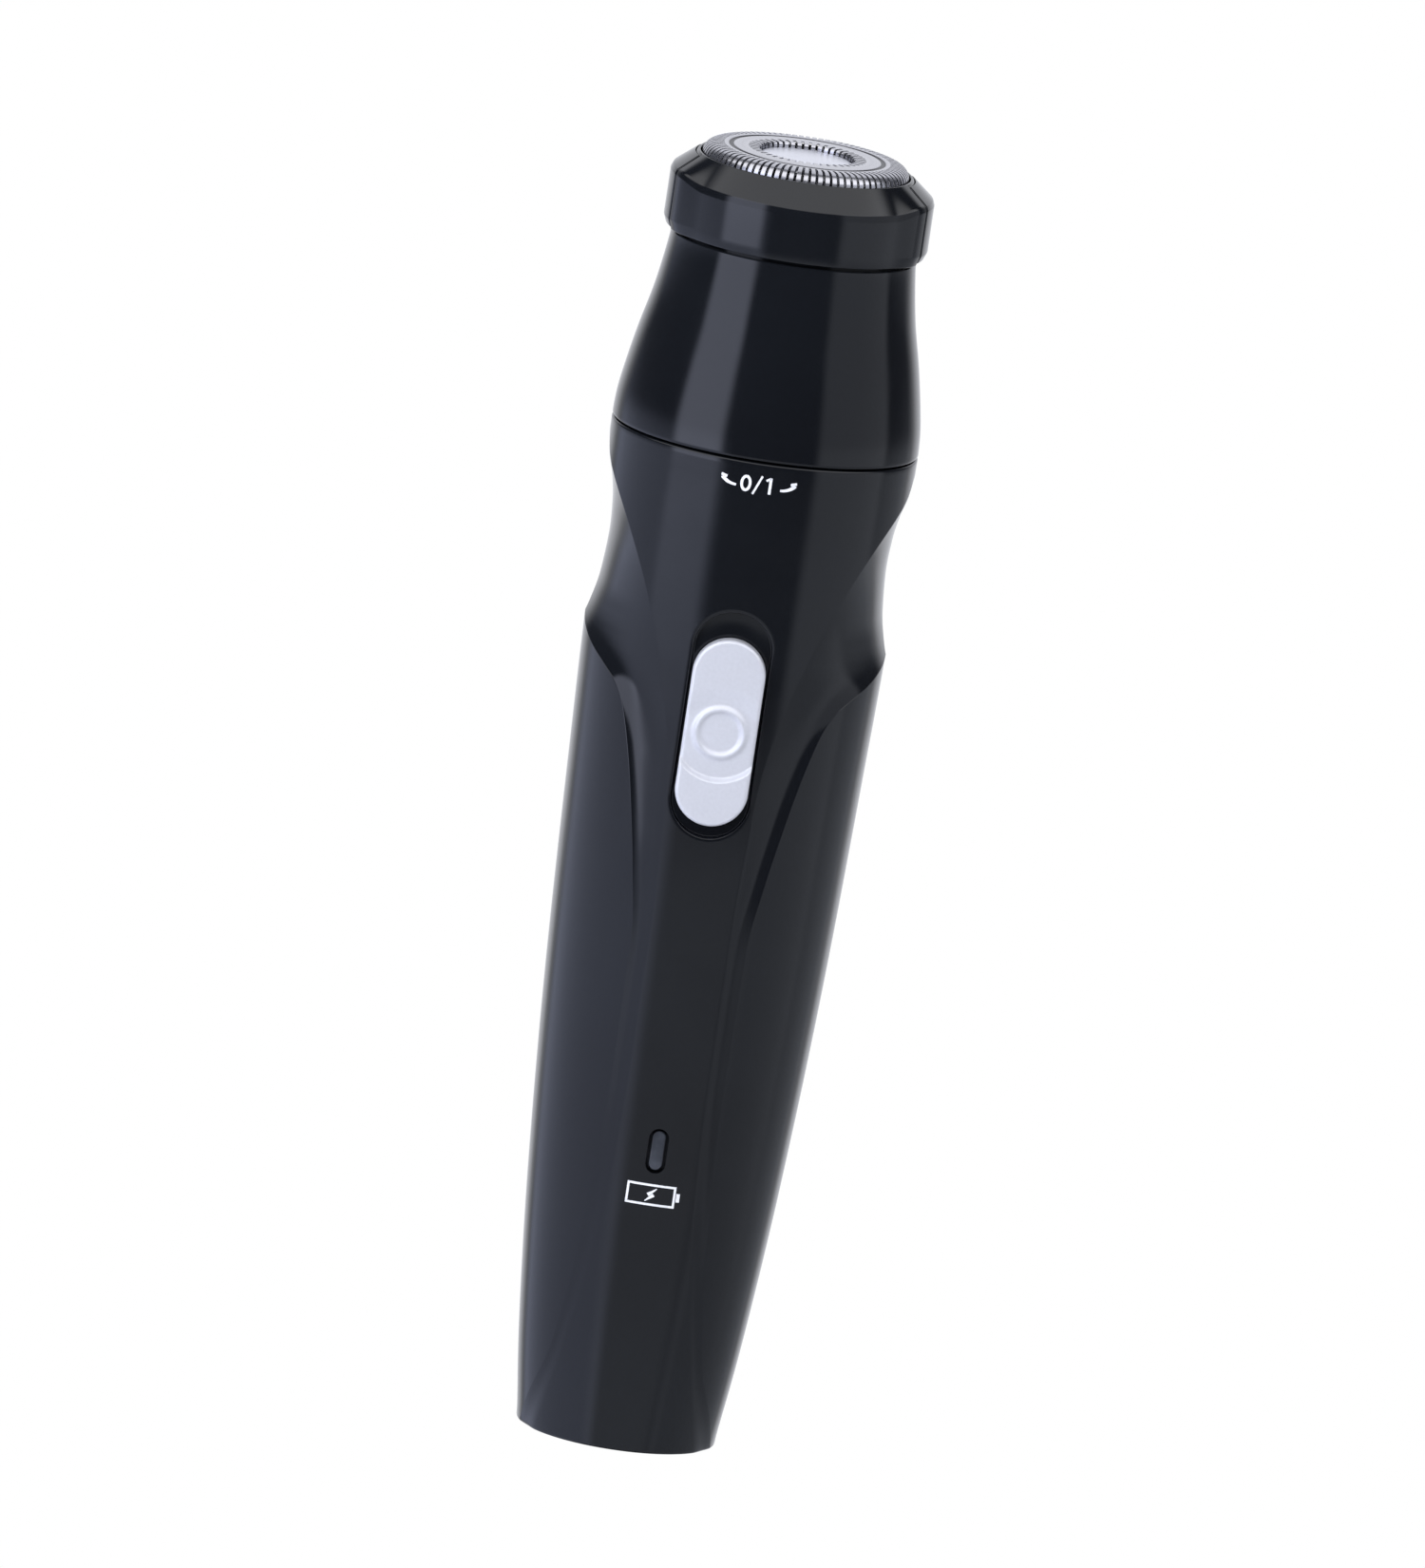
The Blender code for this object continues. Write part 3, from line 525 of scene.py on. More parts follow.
def from_wing(angle, z):
    """Distance in from the wing's edge along the surface, nought on the wing."""
    angle, z = np.broadcast_arrays(np.asarray(angle, dtype=float), np.asarray(z, dtype=float))
    flat_angle, flat_z = angle.ravel(), z.ravel()
    width = flowing(HALF_WIDTH, flat_z)
    nearest = np.empty(len(flat_z))
    for start in range(0, len(flat_z), POINTS_AT_ONCE):
        part = slice(start, start + POINTS_AT_ONCE)
        across = (WING_LINE - flat_angle[part, None]) * width[part, None]
        nearest[part] = np.hypot(across, WING_LINE_Z - flat_z[part, None]).min(axis=1)
    inside = flat_angle < np.radians(fair(WING_ANGLE, flat_z))
    return np.where(inside, nearest, 0.0).reshape(z.shape)


def skin(angle, z):
    """x and forward reach of the handle's surface at an angle from the front and a height.

    The scoop deepens from the spine's edge towards the wing and ends at the wing's edge, which is
    soft low down and crisp higher up.
    """
    width, depth = flowing(HALF_WIDTH, z), flowing(HALF_DEPTH, z)
    inner = spine_angle(z)
    span = np.radians(flowing(WING_SPAN, z)) - inner
    u = np.clip((angle - inner) / np.maximum(span, 0.05), 0.0, 1.0)
    crisp = smoothstep((z - CRISP_START) / CRISP_LENGTH)
    ramp = crisp * (2 * u - u * u) + (1 - crisp) * smoothstep(u * 1.3)
    sink = fair(SCOOP_DEPTH, z) * ramp * (1 - np.exp(-from_wing(angle, z) / fair(WING_EASE, z)))
    low = np.clip(z, 0.0, FOOT_ROUND)
    sink = sink + FOOT_ROUND - np.sqrt(FOOT_ROUND ** 2 - (FOOT_ROUND - low) ** 2)
    x, y = width * np.sin(angle), depth * np.cos(angle)
    scale = 1 - sink / np.hypot(x, y)
    return x * scale, y * scale


def front_reach(x, z):
    """How far forward the handle's surface lies at a given x and height, near the middle."""
    x, z = np.abs(np.asarray(x, dtype=float)), np.asarray(z, dtype=float)
    angle = np.arcsin(x / flowing(HALF_WIDTH, z))
    for _ in range(3):
        found, reach = skin(angle, z)
        angle = angle * np.where(found > 0.01, x / np.maximum(found, 0.01), 1.0)
    return reach


def skin_rows():
    """Heights of the skin's rings: close together at the foot and round the wing's crest."""
    foot = FOOT_ROUND * (1 - np.cos(np.linspace(0, math.pi / 2, 5)))
    low = np.arange(1.2, 66.0, 0.9)
    middle = np.arange(66.0, 86.0, 0.4)
    crest = np.arange(86.0, 96.0, 0.1)
    high = np.arange(96.0, HANDLE_TOP - 0.5, 0.4)
    rim = HANDLE_TOP - RIM_ROUND * (1 - np.sin(np.linspace(0, math.pi / 2, 6)))
    return np.concatenate([foot, low, middle, crest, high, rim])


def skin_columns(z):
    """Angles of a quarter's columns at each height, gathered at the spine's and wing's edges."""
    outer = np.radians(np.minimum(fair(WING_ANGLE, z), 87.5))
    inner = np.minimum(spine_angle(z), outer - math.radians(5))
    spine = np.sin(np.linspace(0, math.pi / 2, 19))
    valley = (1 - np.cos(np.linspace(0, math.pi, 23)))[1:] / 2
    wing = (1 - np.cos(np.linspace(0, math.pi / 2, 13)))[1:]
    columns = [inner * t for t in spine]
    columns += [inner + (outer - inner) * t for t in valley]
    columns += [outer + (math.pi / 2 - outer) * t for t in wing]
    return np.stack(columns, axis=-1)


def full_ring(x, reach, heights):
    """Rings of points all the way round, from a quarter's x and reach."""
    front = np.stack([x, -reach, heights], -1)
    back = np.stack([x, reach, heights], -1)[:, -2::-1]
    right = np.concatenate([front, back], 1)
    return np.concatenate([right, right[:, -2:0:-1] * (-1, 1, 1)], 1)


def handle_skin(start=0.0, end=SHELL_WALL):
    """The whole handle as one closed wall between two depths under its surface, open at the neck."""
    z = skin_rows()
    angles = skin_columns(z)
    heights = np.repeat(z[:, None], angles.shape[1], axis=1)
    x, reach = skin(angles, heights)
    past = np.clip((z - HANDLE_TOP + RIM_ROUND) / RIM_ROUND, 0, 1)[:, None]
    rim = 1 - RIM_ROUND / NECK_RADIUS * (1 - np.sqrt(1 - past ** 2 * 0.999))
    sunk = rim * (1 - start / np.hypot(x, reach))
    outside = full_ring(x * sunk, reach * sunk, np.maximum(heights, start))
    inward = 1 - end / np.hypot(x, reach)
    lining = full_ring(x * inward, reach * inward, np.maximum(heights, end))
    inside = np.concatenate([lining[::-1][::3], lining[:1]])
    foot = [outside[0] * (share, share, 1) for share in (0.0, 0.3, 0.6, 0.85)]
    floor = [inside[-1] * (share, share, 1) for share in (0.6, 0.3, 0.0)]
    rings = np.concatenate([foot, outside, inside, floor])
    faces = grid_faces(*rings.shape[:2], wrap_columns=True)
    return mesh_object("handle_skin", rings.reshape(-1, 3), faces, weld=0.0005)


def handle_shells():
    """The two shells with their openings, the strip behind their seam, and the switch's tray."""
    skin_object = handle_skin()
    slot = prism("slot", pill(4.2, 15.0), -19, -11, SWITCH_Z + 1.3)
    recess = prism("recess", pill(RECESS_WIDTH + 2 * RECESS_RIM, RECESS_HEIGHT + 2 * RECESS_RIM),
                   -20, -10, RECESS_Z)
    window = prism("window", pill(2.3, 5.3), -18, -9, sum(node_box("charge_lens"))[2] / 2)
    socket = lathe("socket", [(0, 5), (3.0, 5), (3.0, -3), (0, -3)], 64, closed=False)
    for name, node, low_y, high_y in (("handle_front", "front_shell", -CUTTER_REACH, -SEAM_GAP),
                                      ("handle_back", "back_shell", SEAM_GAP, CUTTER_REACH)):
        half = box_mesh("half", (-CUTTER_REACH, low_y, -5), (CUTTER_REACH, high_y, HANDLE_TOP + 1))
        shell = new_object(name, skin_object.data.copy())
        cut(shell, half, operation="INTERSECT")
        cut(shell, socket)
        if node == "front_shell":
            cut(shell, recess, window)
        finish_piece(shell, "handle", BLACK, [node], sharp=40)
        discard(half)
    tongue = handle_skin(TONGUE_DEPTH, SHELL_WALL - 0.2)
    band = box_mesh("band", (-CUTTER_REACH, -TONGUE_HALF_WIDTH, 0.3),
                    (CUTTER_REACH, TONGUE_HALF_WIDTH, HANDLE_TOP - 0.6))
    cut(tongue, band, operation="INTERSECT")
    cut(tongue, socket)
    tongue.name = "parting_tongue"
    finish_piece(tongue, "handle", MATT, sharp=40)
    discard(band)
    tray = cut(switch_tray(), slot)
    finish_piece(tray, "handle", BLACK, sharp=60)
    discard(skin_object, slot, recess, window, socket)


def pill_rim(width, height, spacing):
    """Points round a slot with round ends, and the spine point that each one faces."""
    radius = width / 2
    straight = height / 2 - radius
    side_steps = int(2 * straight / spacing)
    end_steps = int(math.pi * radius / spacing)
    rim, spine = [], []
    for side in (1, -1):
        for t in np.linspace(0, math.pi, end_steps + 1)[:-1]:
            rim.append((side * radius * math.cos(t), side * (straight + radius * math.sin(t))))
            spine.append((0.0, side * straight))
        for k in range(side_steps):
            z = side * straight * (1 - 2 * k / side_steps)
            rim.append((-side * radius, z))
            spine.append((0.0, z))
    return np.array(rim), np.array(spine)


def pill_solid(name, layers, centre_z):
    """A solid from (x, z points, forward reach) layers of one pill outline, first to last."""
    points = [np.stack([flat[:, 0], -np.broadcast_to(reach, len(flat)), flat[:, 1] + centre_z], -1)
              for flat, reach in layers]
    faces = grid_faces(len(points), len(points[0]), wrap_columns=True)
    return mesh_object(name, np.concatenate(points), faces, weld=0.0005)


def switch_tray():
    """The recess that the switch slides in: a rounded rim, a wall, a filleted floor."""
    rim, spine = pill_rim(RECESS_WIDTH, RECESS_HEIGHT, 0.2)
    radius = RECESS_WIDTH / 2
    fillet, corner = 0.3, 0.2
    layers = []

    def add(offset, drop=None, reach=None):
        """Add the outline grown by offset, at a reach or a drop below the handle's surface."""
        flat = spine + (rim - spine) * (1 + offset / radius)
        if reach is None:
            reach = front_reach(flat[:, 0], flat[:, 1] + RECESS_Z) - drop
        layers.append((flat, reach))

    back = RECESS_FLOOR - 1.0
    add(-radius, reach=back)
    add(RECESS_RIM, reach=back)
    add(RECESS_RIM, 0.0)
    for a in np.linspace(0, math.pi / 2, 7):
        add(fillet * (1 - math.sin(a)), fillet * (1 - math.cos(a)))
    for a in np.linspace(0, math.pi / 2, 6):
        add(corner * (math.cos(a) - 1), reach=RECESS_FLOOR + corner * (1 - math.sin(a)))
    for share in (0.5, 1.0):
        add(-radius * share, reach=RECESS_FLOOR)
    return pill_solid("switch_tray", layers, RECESS_Z)


# ---------------- pill-shaped pieces
def pill_button(name, width, height, base, top, rise, edge, centre_z, rings=44, spacing=0.12):
    """A solid pill whose front face rises by rise(x, z) above top, with rounded edges."""
    rim, spine = pill_rim(width, height, spacing)
    radius = width / 2
    layers = []
    for t in np.linspace(0, 1 - edge / radius, rings):
        flat = spine + (rim - spine) * t
        layers.append((flat, top + rise(flat[:, 0], flat[:, 1])))
    for a in np.linspace(0, math.pi / 2, 9)[1:]:
        flat = spine + (rim - spine) * (1 - edge / radius * (1 - math.sin(a)))
        layers.append((flat, top + rise(flat[:, 0], flat[:, 1]) - edge * (1 - math.cos(a))))
    layers += [(rim, base), (spine, base)]
    return pill_solid(name, layers, centre_z)


def thumb_face(x, z):
    """Relief of the switch's front: a thumb dish with a raised ring in it, and a slight crown."""
    dish_radius, ring_radius, ring_width, ring_height = 5.8, 2.75, 0.4, 0.36
    r = np.hypot(x, z)
    depth = 0.34 + 0.36 * smoothstep((2.0 - z) / 6.0)
    edge = 0.6 + 2.0 * smoothstep((z + 1.0) / 5.0)
    dish = -depth * smoothstep((dish_radius - r) / edge)
    ring = ring_height * np.exp(-((r - ring_radius) / ring_width) ** 2)
    crown = 0.10 * (x / 4.2) ** 2
    return dish + ring - crown


def slide_button():
    """The silver switch, with the stem that carries it through the slot."""
    low, high = node_box("slide_button")
    base, top = 16.2, -low[1] - 0.02
    button = pill_button("slide_switch", high[0] - low[0], high[2] - low[2], base, top, thumb_face, 0.45,
                         SWITCH_Z)
    stem = prism("stem", pill(3.4, 11.6), -base - 0.2, high[1], SWITCH_Z)
    cut(button, stem, operation="UNION")
    discard(stem)
    finish_piece(button, "switch", SILVER, ["slide_button"], sharp=40)


def charge_lens():
    """The charge window's lens, crowned across, with the flange that holds it from inside."""
    low, high = node_box("charge_lens")
    width, base, centre = 1.6, 11.9, (low[2] + high[2]) / 2
    lens = pill_button("charge_window", width, 4.6, base, -low[1] - 0.02,
                       lambda x, z: -0.10 * (x / (width / 2)) ** 2, 0.16, centre, rings=10)
    flange = prism("flange", pill(3.4, 6.6), -base, high[1], centre)
    cut(lens, flange, operation="UNION")
    discard(flange)
    finish_piece(lens, "handle", LENS, ["charge_lens"], sharp=40)


# ---------------- printed marks
def stroke(path, widths):
    """Points and faces of a brush stroke along an (x, z) path, with a width at each point."""
    path = np.array(path, dtype=float)
    along = np.gradient(path, axis=0)
    along /= np.linalg.norm(along, axis=1)[:, None]
    side = np.stack([-along[:, 1], along[:, 0]], -1) * np.asarray(widths, dtype=float)[:, None] / 2
    points = np.stack([path + side, path, path - side], 1).reshape(-1, 2)
    return points, grid_faces(len(path), 3)


def arc_path(centre, radii, start, end, steps):
    """Points along an ellipse's arc between two angles in degrees."""
    turns = np.radians(np.linspace(start, end, steps))
    return [(centre[0] + radii[0] * math.cos(t), centre[1] + radii[1] * math.sin(t)) for t in turns]


def line_path(first, last, steps=8):
    """Points along a straight line."""
    first, last = np.array(first), np.array(last)
    return [tuple(first + (last - first) * t) for t in np.linspace(0, 1, steps)]


def printed(name, strokes, centre_z):
    """Ink laid on the spine's front, a hair thick."""
    points, faces = [], []
    for path, width in strokes:
        widths = width if hasattr(width, "__len__") else [width] * len(path)
        flat, quads = stroke(path, widths)
        faces += [tuple(i + len(points) for i in q) for q in quads]
        reach = front_reach(flat[:, 0], flat[:, 1] + centre_z) + INK_THICKNESS
        points += list(np.stack([flat[:, 0], -reach, flat[:, 1] + centre_z], -1))
    mark = mesh_object(name, points, faces)
    thicken(mark, INK_THICKNESS, offset=0.0)
    finish_piece(mark, "handle", INK)


def lock_mark():
    """A nought and a one with a turning arrow on each side, for off and on."""
    strokes = [
        (arc_path((-1.35, 0.3), (0.48, 0.80), 90, 450, 40), 0.32),
        (line_path((-0.45, -0.85), (0.45, 1.35)), 0.24),
        (line_path((1.45, -0.65), (1.45, 1.25)), 0.32),
        (line_path((1.45, 1.2), (0.95, 0.88)), 0.26),
    ]
    steps = 18
    for side in (-1, 1):
        path = arc_path((side * 2.55 + 0.1, 1.35), (1.85, 1.4), 270, 270 + side * 62, steps)
        strokes.append((path, np.linspace(0.26, 0.46, steps)))
        tip = np.array(path[-1])
        strokes.append((line_path(tip + (side * 0.16, 0.22), tip + (-side * 0.52, 0.06)), 0.30))
    printed("turn_mark", strokes, MARK_Z)


def charge_pictogram():
    """A small cell outline with a bolt, in place of wording."""
    wide, tall, line = 5.4, 2.3, 0.26
    x, z = wide / 2, tall / 2
    strokes = [
        (line_path((-x, z), (x, z)), line),
        (line_path((-x, -z), (x, -z)), line),
        (line_path((-x, z + line / 2), (-x, -z - line / 2)), line),
        (line_path((x, z + line / 2), (x, -z - line / 2)), line),
        (line_path((x + 0.42, 0.5), (x + 0.42, -0.5)), 0.4),
        (line_path((0.62, 0.78), (-0.34, -0.02)), np.linspace(0.10, 0.44, 8)),
        (line_path((0.34, 0.02), (-0.62, -0.78)), np.linspace(0.44, 0.10, 8)),
    ]
    printed("charge_mark", strokes, PICTOGRAM_Z)


# ---------------- the head
def head_bell():
    """The head's bell: outer face, rounded foot, inner face, and the spigot that the ring sits on."""
    low = BELL_OUTLINE[-1][0]
    outer_z = np.concatenate([np.linspace(139.9, low + 0.4, 74), [low + 0.25]])
    outer = [(float(flowing(BELL_OUTLINE, z, 1.2)), float(z)) for z in outer_z]
    foot, lip = outer[-1][0], 0.22
    lip_arc = [(foot - lip * (1 - math.cos(a)), low + lip * (1 - math.sin(a)) - 0.1)
               for a in np.linspace(0.2, math.pi / 2, 5)]
    inner = [(float(flowing(BELL_OUTLINE, z, 1.2)) - BELL_WALL, float(z))
             for z in np.linspace(low - 0.1, 136.5, 24)]
    spigot = [(12.0, 139.6), (12.0, 142.4), (12.9, 142.4), (12.9, 140.0), (outer[0][0] - 0.1, 140.0)]
    bell = lathe("head_bell", outer + lip_arc + inner + spigot, 256)
    finish_piece(bell, "head", BLACK, ["head_housing"], sharp=40)


def ring_boost(y):
    """How far the ring's wall has swelled out towards the tabs at a given y, from 0 to 1."""
    if abs(y) <= TAB_HALF_WIDTH + 0.13:
        return 0.0
    return smoothstep((SWELL_EDGE - abs(y)) / SWELL_LENGTH)


def cap_ring():
    """The ring that holds the foil, swelling out beside each tab and notched for it."""
    low, high = node_box("cap_ring")
    bottom, top = low[2], high[2]
    slot, plain = TAB_HALF_WIDTH + 0.12, SWELL_EDGE + 0.3
    side = np.concatenate([np.linspace(0, slot - 0.3, 8), [slot, slot + 0.02],
                           np.linspace(slot + 0.15, plain, 22)])
    quarter = np.concatenate([np.arcsin(side / RING_RADIUS),
                              np.linspace(math.asin(plain / RING_RADIUS), math.pi / 2, 22)[1:]])
    half = np.concatenate([quarter, math.pi - quarter[-2::-1]])
    turns = np.concatenate([half, math.tau - half[-2:0:-1]])
    columns = []
    for turn in turns:
        boost = ring_boost(RING_RADIUS * math.sin(turn)) if abs(math.cos(turn)) > 0.3 else 0.0
        shoulder, wall, foot = 14.2 + 0.82 * boost, 14.35 + 0.89 * boost, 14.35 + 0.55 * boost
        corners = [(12.42, top, 0.12), (shoulder, 146.6 + 0.8 * boost, 0.9),
                   (wall, 145.9 + 0.95 * boost, 0.9), (wall, 141.6, 0.6), (foot + 0.003, bottom, 0.18),
                   (13.2, bottom, 0), (13.2, 147.1, 0), (12.15, 147.9, 0), (12.15, top, 0.1)]
        outline = rounded(corners, 7, keep_count=True)
        columns.append([(r * math.cos(turn), r * math.sin(turn), z) for r, z in outline])
    points = np.array(columns)
    faces = grid_faces(*points.shape[:2], wrap_rows=True, wrap_columns=True)
    ring = mesh_object("cap_collar", points.reshape(-1, 3), faces, weld=0.0003)
    finish_piece(ring, "cap", BLACK, ["cap_ring"], sharp=40)


def release_tabs():
    """The two squeeze tabs: a bent wall swept about Z, with softened ends."""
    corners = [(12.75, 149.26, 0.05), (15.02, 147.4, 0.5), (15.24, 146.85, 0.35),
               (TAB_RADIUS, 141.5, 0.6), (14.9, 140.6, 0.25), (14.7, 140.6, 0.05), (14.7, 146.45, 0.1),
               (12.7, 149.1, 0.03)]
    outline = np.array(rounded(corners, 5))
    half_angle = math.asin(TAB_HALF_WIDTH / TAB_RADIUS)
    columns = 41
    count = len(outline)
    centre = outline.mean(0)
    inward = (centre - outline) / np.linalg.norm(centre - outline, axis=1)[:, None]
    for body, side in (("tab_right", 1), ("tab_left", -1)):
        layers = []
        for t in np.sin(np.linspace(-math.pi / 2, math.pi / 2, columns)):
            a = half_angle * t
            shrink = 0.12 * max(0.0, (abs(t) - 0.95) / 0.05) ** 2
            layers.append([(side * r * math.cos(a), r * math.sin(a), z)
                           for r, z in outline + inward * shrink])
        faces = grid_faces(columns, count, wrap_columns=True)
        faces += [tuple(range(count)), tuple((columns - 1) * count + i for i in range(count))]
        tab = mesh_object("squeeze_" + body, np.array(layers).reshape(-1, 3), faces)
        finish_piece(tab, body, BLACK, ["release_" + body], sharp=40)


def shaving_foil():
    """The foil as thin sheet with real slots: an outer track over the shoulder and an inner track."""
    top = FOIL_TOP
    # radius, and height from the top: hub wall, inner track, groove, outer track, shoulder, skirt, flange
    outline = [(5.45, -1.18), (5.45, -0.95), (5.45, -0.7), (5.45, -0.4), (5.5, -0.18), (5.62, -0.05),
               (5.85, 0), (6.3, 0), (6.8, 0), (7.4, 0), (8.0, 0), (8.35, 0), (8.5, -0.03), (8.6, -0.12),
               (9.0, -0.12), (9.1, -0.03), (9.25, 0), (9.6, 0), (10.1, 0), (10.5, -0.01), (10.85, -0.07),
               (11.12, -0.17), (11.37, -0.32), (11.6, -0.53), (11.78, -0.79), (11.91, -1.1),
               (11.98, -1.5), (12.0, -2.4), (12.0, -3.45), (12.08, -3.55), (12.9, -3.55)]
    inner_slots, outer_slots = range(1, 8), range(17, 27)
    columns, per_outer, per_inner = 440, 5, 10
    turns = np.linspace(0, math.tau, columns + 1)[:-1]
    points = [(r * math.cos(t), r * math.sin(t), top + drop) for r, drop in outline for t in turns]

    def keep(row, column):
        """Leave out the cells of the slots, at one pitch in each track."""
        if row in outer_slots:
            return column % per_outer < 3
        if row in inner_slots:
            return column % per_inner < 6
        return True

    faces = grid_faces(len(outline), columns, wrap_columns=True, keep=keep)
    foil = mesh_object("slotted_foil", points, faces)
    if foil.data.polygons[0].normal.dot(foil.data.polygons[0].center * -1) < 0:
        foil.data.flip_normals()
    thicken(foil, FOIL_THICKNESS)
    pocket = lathe("foil_pocket", [(0, top - 1.28), (5.4, top - 1.28), (5.42, top - 1.15),
                                   (5.62, top - 1.15), (5.62, top - 1.45), (0, top - 1.45)], 128)
    finish_piece(foil, "foil", FOIL_STEEL, ["shaving_foil"], sharp=30)
    finish_piece(pocket, "foil", FOIL_STEEL)
    badge = lathe("foil_disc", [(0, top - 0.5), (4.8, top - 0.52), (5.15, top - 0.58), (5.3, top - 0.72),
                                (5.3, top - 1.23), (0, top - 1.23)], 128, closed=False)
    finish_piece(badge, "foil", BADGE, ["foil_badge"], sharp=50)


def inner_cutter():
    """The lapped blade wheel under the foil: a plate with two rings of slanted blades."""
    tip, high, low = FOIL_TOP - 1.0, FOIL_TOP - 2.6, FOIL_TOP - 3.3
    outline = rounded([(11.1, high, 0.1), (11.1, low, 0.1), (2.2, low, 0), (2.2, high, 0)])
    plate = lathe("blade_wheel", outline, 96)
    finish_piece(plate, "cutter", STEEL, ["inner_cutter"])
    points, faces = [], []
    for k in range(BLADES):
        turn = math.tau * k / BLADES
        radial = np.array((math.cos(turn), math.sin(turn)))
        tangent = np.array((-math.sin(turn), math.cos(turn)))
        for inner, outer in BLADE_TRACKS:
            start = len(points)
            for z, shift in ((high - 0.1, -BLADE_SLANT), (tip, BLADE_SLANT)):
                for r, s in ((inner, -1), (outer, -1), (outer, 1), (inner, 1)):
                    xy = radial * r + tangent * (shift + s * BLADE_THICKNESS / 2)
                    points.append((xy[0], xy[1], z))
            quads = [(0, 1, 2, 3), (4, 5, 6, 7), (0, 1, 5, 4), (1, 2, 6, 5), (2, 3, 7, 6), (3, 0, 4, 7)]
            faces += [tuple(start + i for i in q) for q in quads]
    finish_piece(mesh_object("blades", points, faces), "cutter", STEEL)


# ---------------- CAD nodes that stay
def dress_cad_nodes():
    """Give each CAD node that still shows its finished material."""
    looks = [
        (GREY, "neck_collar battery_cradle switch_carrier lock_ring"),
        (MATT, "charging_socket motor_end_cap head_base head_deck cutter_retainer"),
        (ACETAL, "charge_led motor_coupling drive_spindle spindle_plunger cutter_hub"),
        (STEEL, "motor_can motor_shaft motor_screw_left motor_screw_right spindle_spring"),
        (NICKEL, "battery_tab_positive battery_tab_negative socket_pin"),
        (BRASS, "moving_contact spindle_bush"),
        (FERRITE, "magnet_left magnet_right"),
        (BOARD, "circuit_board switch_board"),
        (RED, "battery_lead_red motor_lead_red"),
        (DARK_LEAD, "battery_lead_black motor_lead_black"),
        (RUBBER, "neck_seal"),
        (SLEEVE, "battery_cell"),
        (COPPER, "armature"),
    ]
    for mat, nodes in looks:
        for node in nodes.split():
            paint(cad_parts[node], mat)


# ---------------- stage, light and camera, in metres
AIM = Vector((0.0, 0.0, 0.0764))
VIEW_ELEVATION, VIEW_ROLL, VIEW_DISTANCE = 11.0, 8.57, 6.2
VIEW_SPAN, SENSOR = 0.1796, 36.0
WHITE = (1.0, 1.0, 1.0, 1.0)
FLOOR_REACH = 20.0
ROOM_BASE = (0.075, 0.08, 0.095)
# colour, then azimuth, half width, elevation, half height, and the softness of each, in degrees
ROOM_PATCHES = [
    ((0.74, 0.80, 1.04), (-83, 55, -37, 30, 7, 8)),
    ((0.38, 0.40, 0.44), (92, 48, -37, 30, 5, 8)),
    ((0.46, 0.48, 0.52), (6, 38, -46, 31, 12, 1.3)),
    ((1.75, 1.85, 2.30), (-50.5, 19.5, 9.5, 20.5, 4, 2.5)),
    ((0.50, 0.52, 0.57), (73, 31, 12, 24, 4, 8)),
    ((1.60, 1.60, 1.62), (-2, 104, 49, 22, 9, 5)),
    ((0.85, 0.86, 0.90), (180, 36, 18, 58, 12, 12)),
    ((0.85, 0.86, 0.90), (-180, 36, 18, 58, 12, 12)),
]
# name, azimuth, elevation, distance, width, height, radiance, colour
SOFTBOXES = [
    ("left_panel", -48, 14, 0.9, 0.50, 0.75, 2.6, (0.86, 0.91, 1.0)),
    ("right_panel", 70, 10, 0.9, 0.80, 0.8, 0.3, (0.97, 0.98, 1.0)),
    ("fill", -25, 28, 1.2, 1.2, 1.2, 1.35, (0.97, 0.98, 1.0)),
]


def towards(azimuth, elevation):
    """Direction at an azimuth from the front, positive to the right, and an elevation, in degrees."""
    turn, lift = math.radians(azimuth), math.radians(elevation)
    return Vector((math.sin(turn) * math.cos(lift), -math.cos(turn) * math.cos(lift), math.sin(lift)))


def only_camera(tree, output, seen, unseen):
    """Show one shader to the camera and another to every other ray."""
    path = tree.nodes.new("ShaderNodeLightPath")
    mix = tree.nodes.new("ShaderNodeMixShader")
    tree.links.new(path.outputs["Is Camera Ray"], mix.inputs["Fac"])
    tree.links.new(unseen, mix.inputs[1])
    tree.links.new(seen, mix.inputs[2])
    tree.links.new(mix.outputs["Shader"], output.inputs["Surface"])


def white_floor():
    """A floor that the camera sees as white paper and that lights the object as pale paint."""
    mesh = bpy.data.meshes.new("floor")
    corners = [(x * FLOOR_REACH, y * FLOOR_REACH, 0) for x, y in ((-1, -1), (1, -1), (1, 1), (-1, 1))]
    mesh.from_pydata(corners, [], [(0, 1, 2, 3)])
    floor = new_object("floor", mesh)
    mat = bpy.data.materials.new("pale_floor")
    mat.use_nodes = True
    tree = mat.node_tree
    tree.nodes.clear()
    output = tree.nodes.new("ShaderNodeOutputMaterial")
    seen = tree.nodes.new("ShaderNodeEmission")
    seen.inputs["Color"].default_value = WHITE
    unseen = tree.nodes.new("ShaderNodeBsdfDiffuse")
    unseen.inputs["Color"].default_value = (0.75, 0.76, 0.80, 1.0)
    only_camera(tree, output, seen.outputs["Emission"], unseen.outputs["BSDF"])
    mesh.materials.append(mat)
    floor.visible_glossy = False


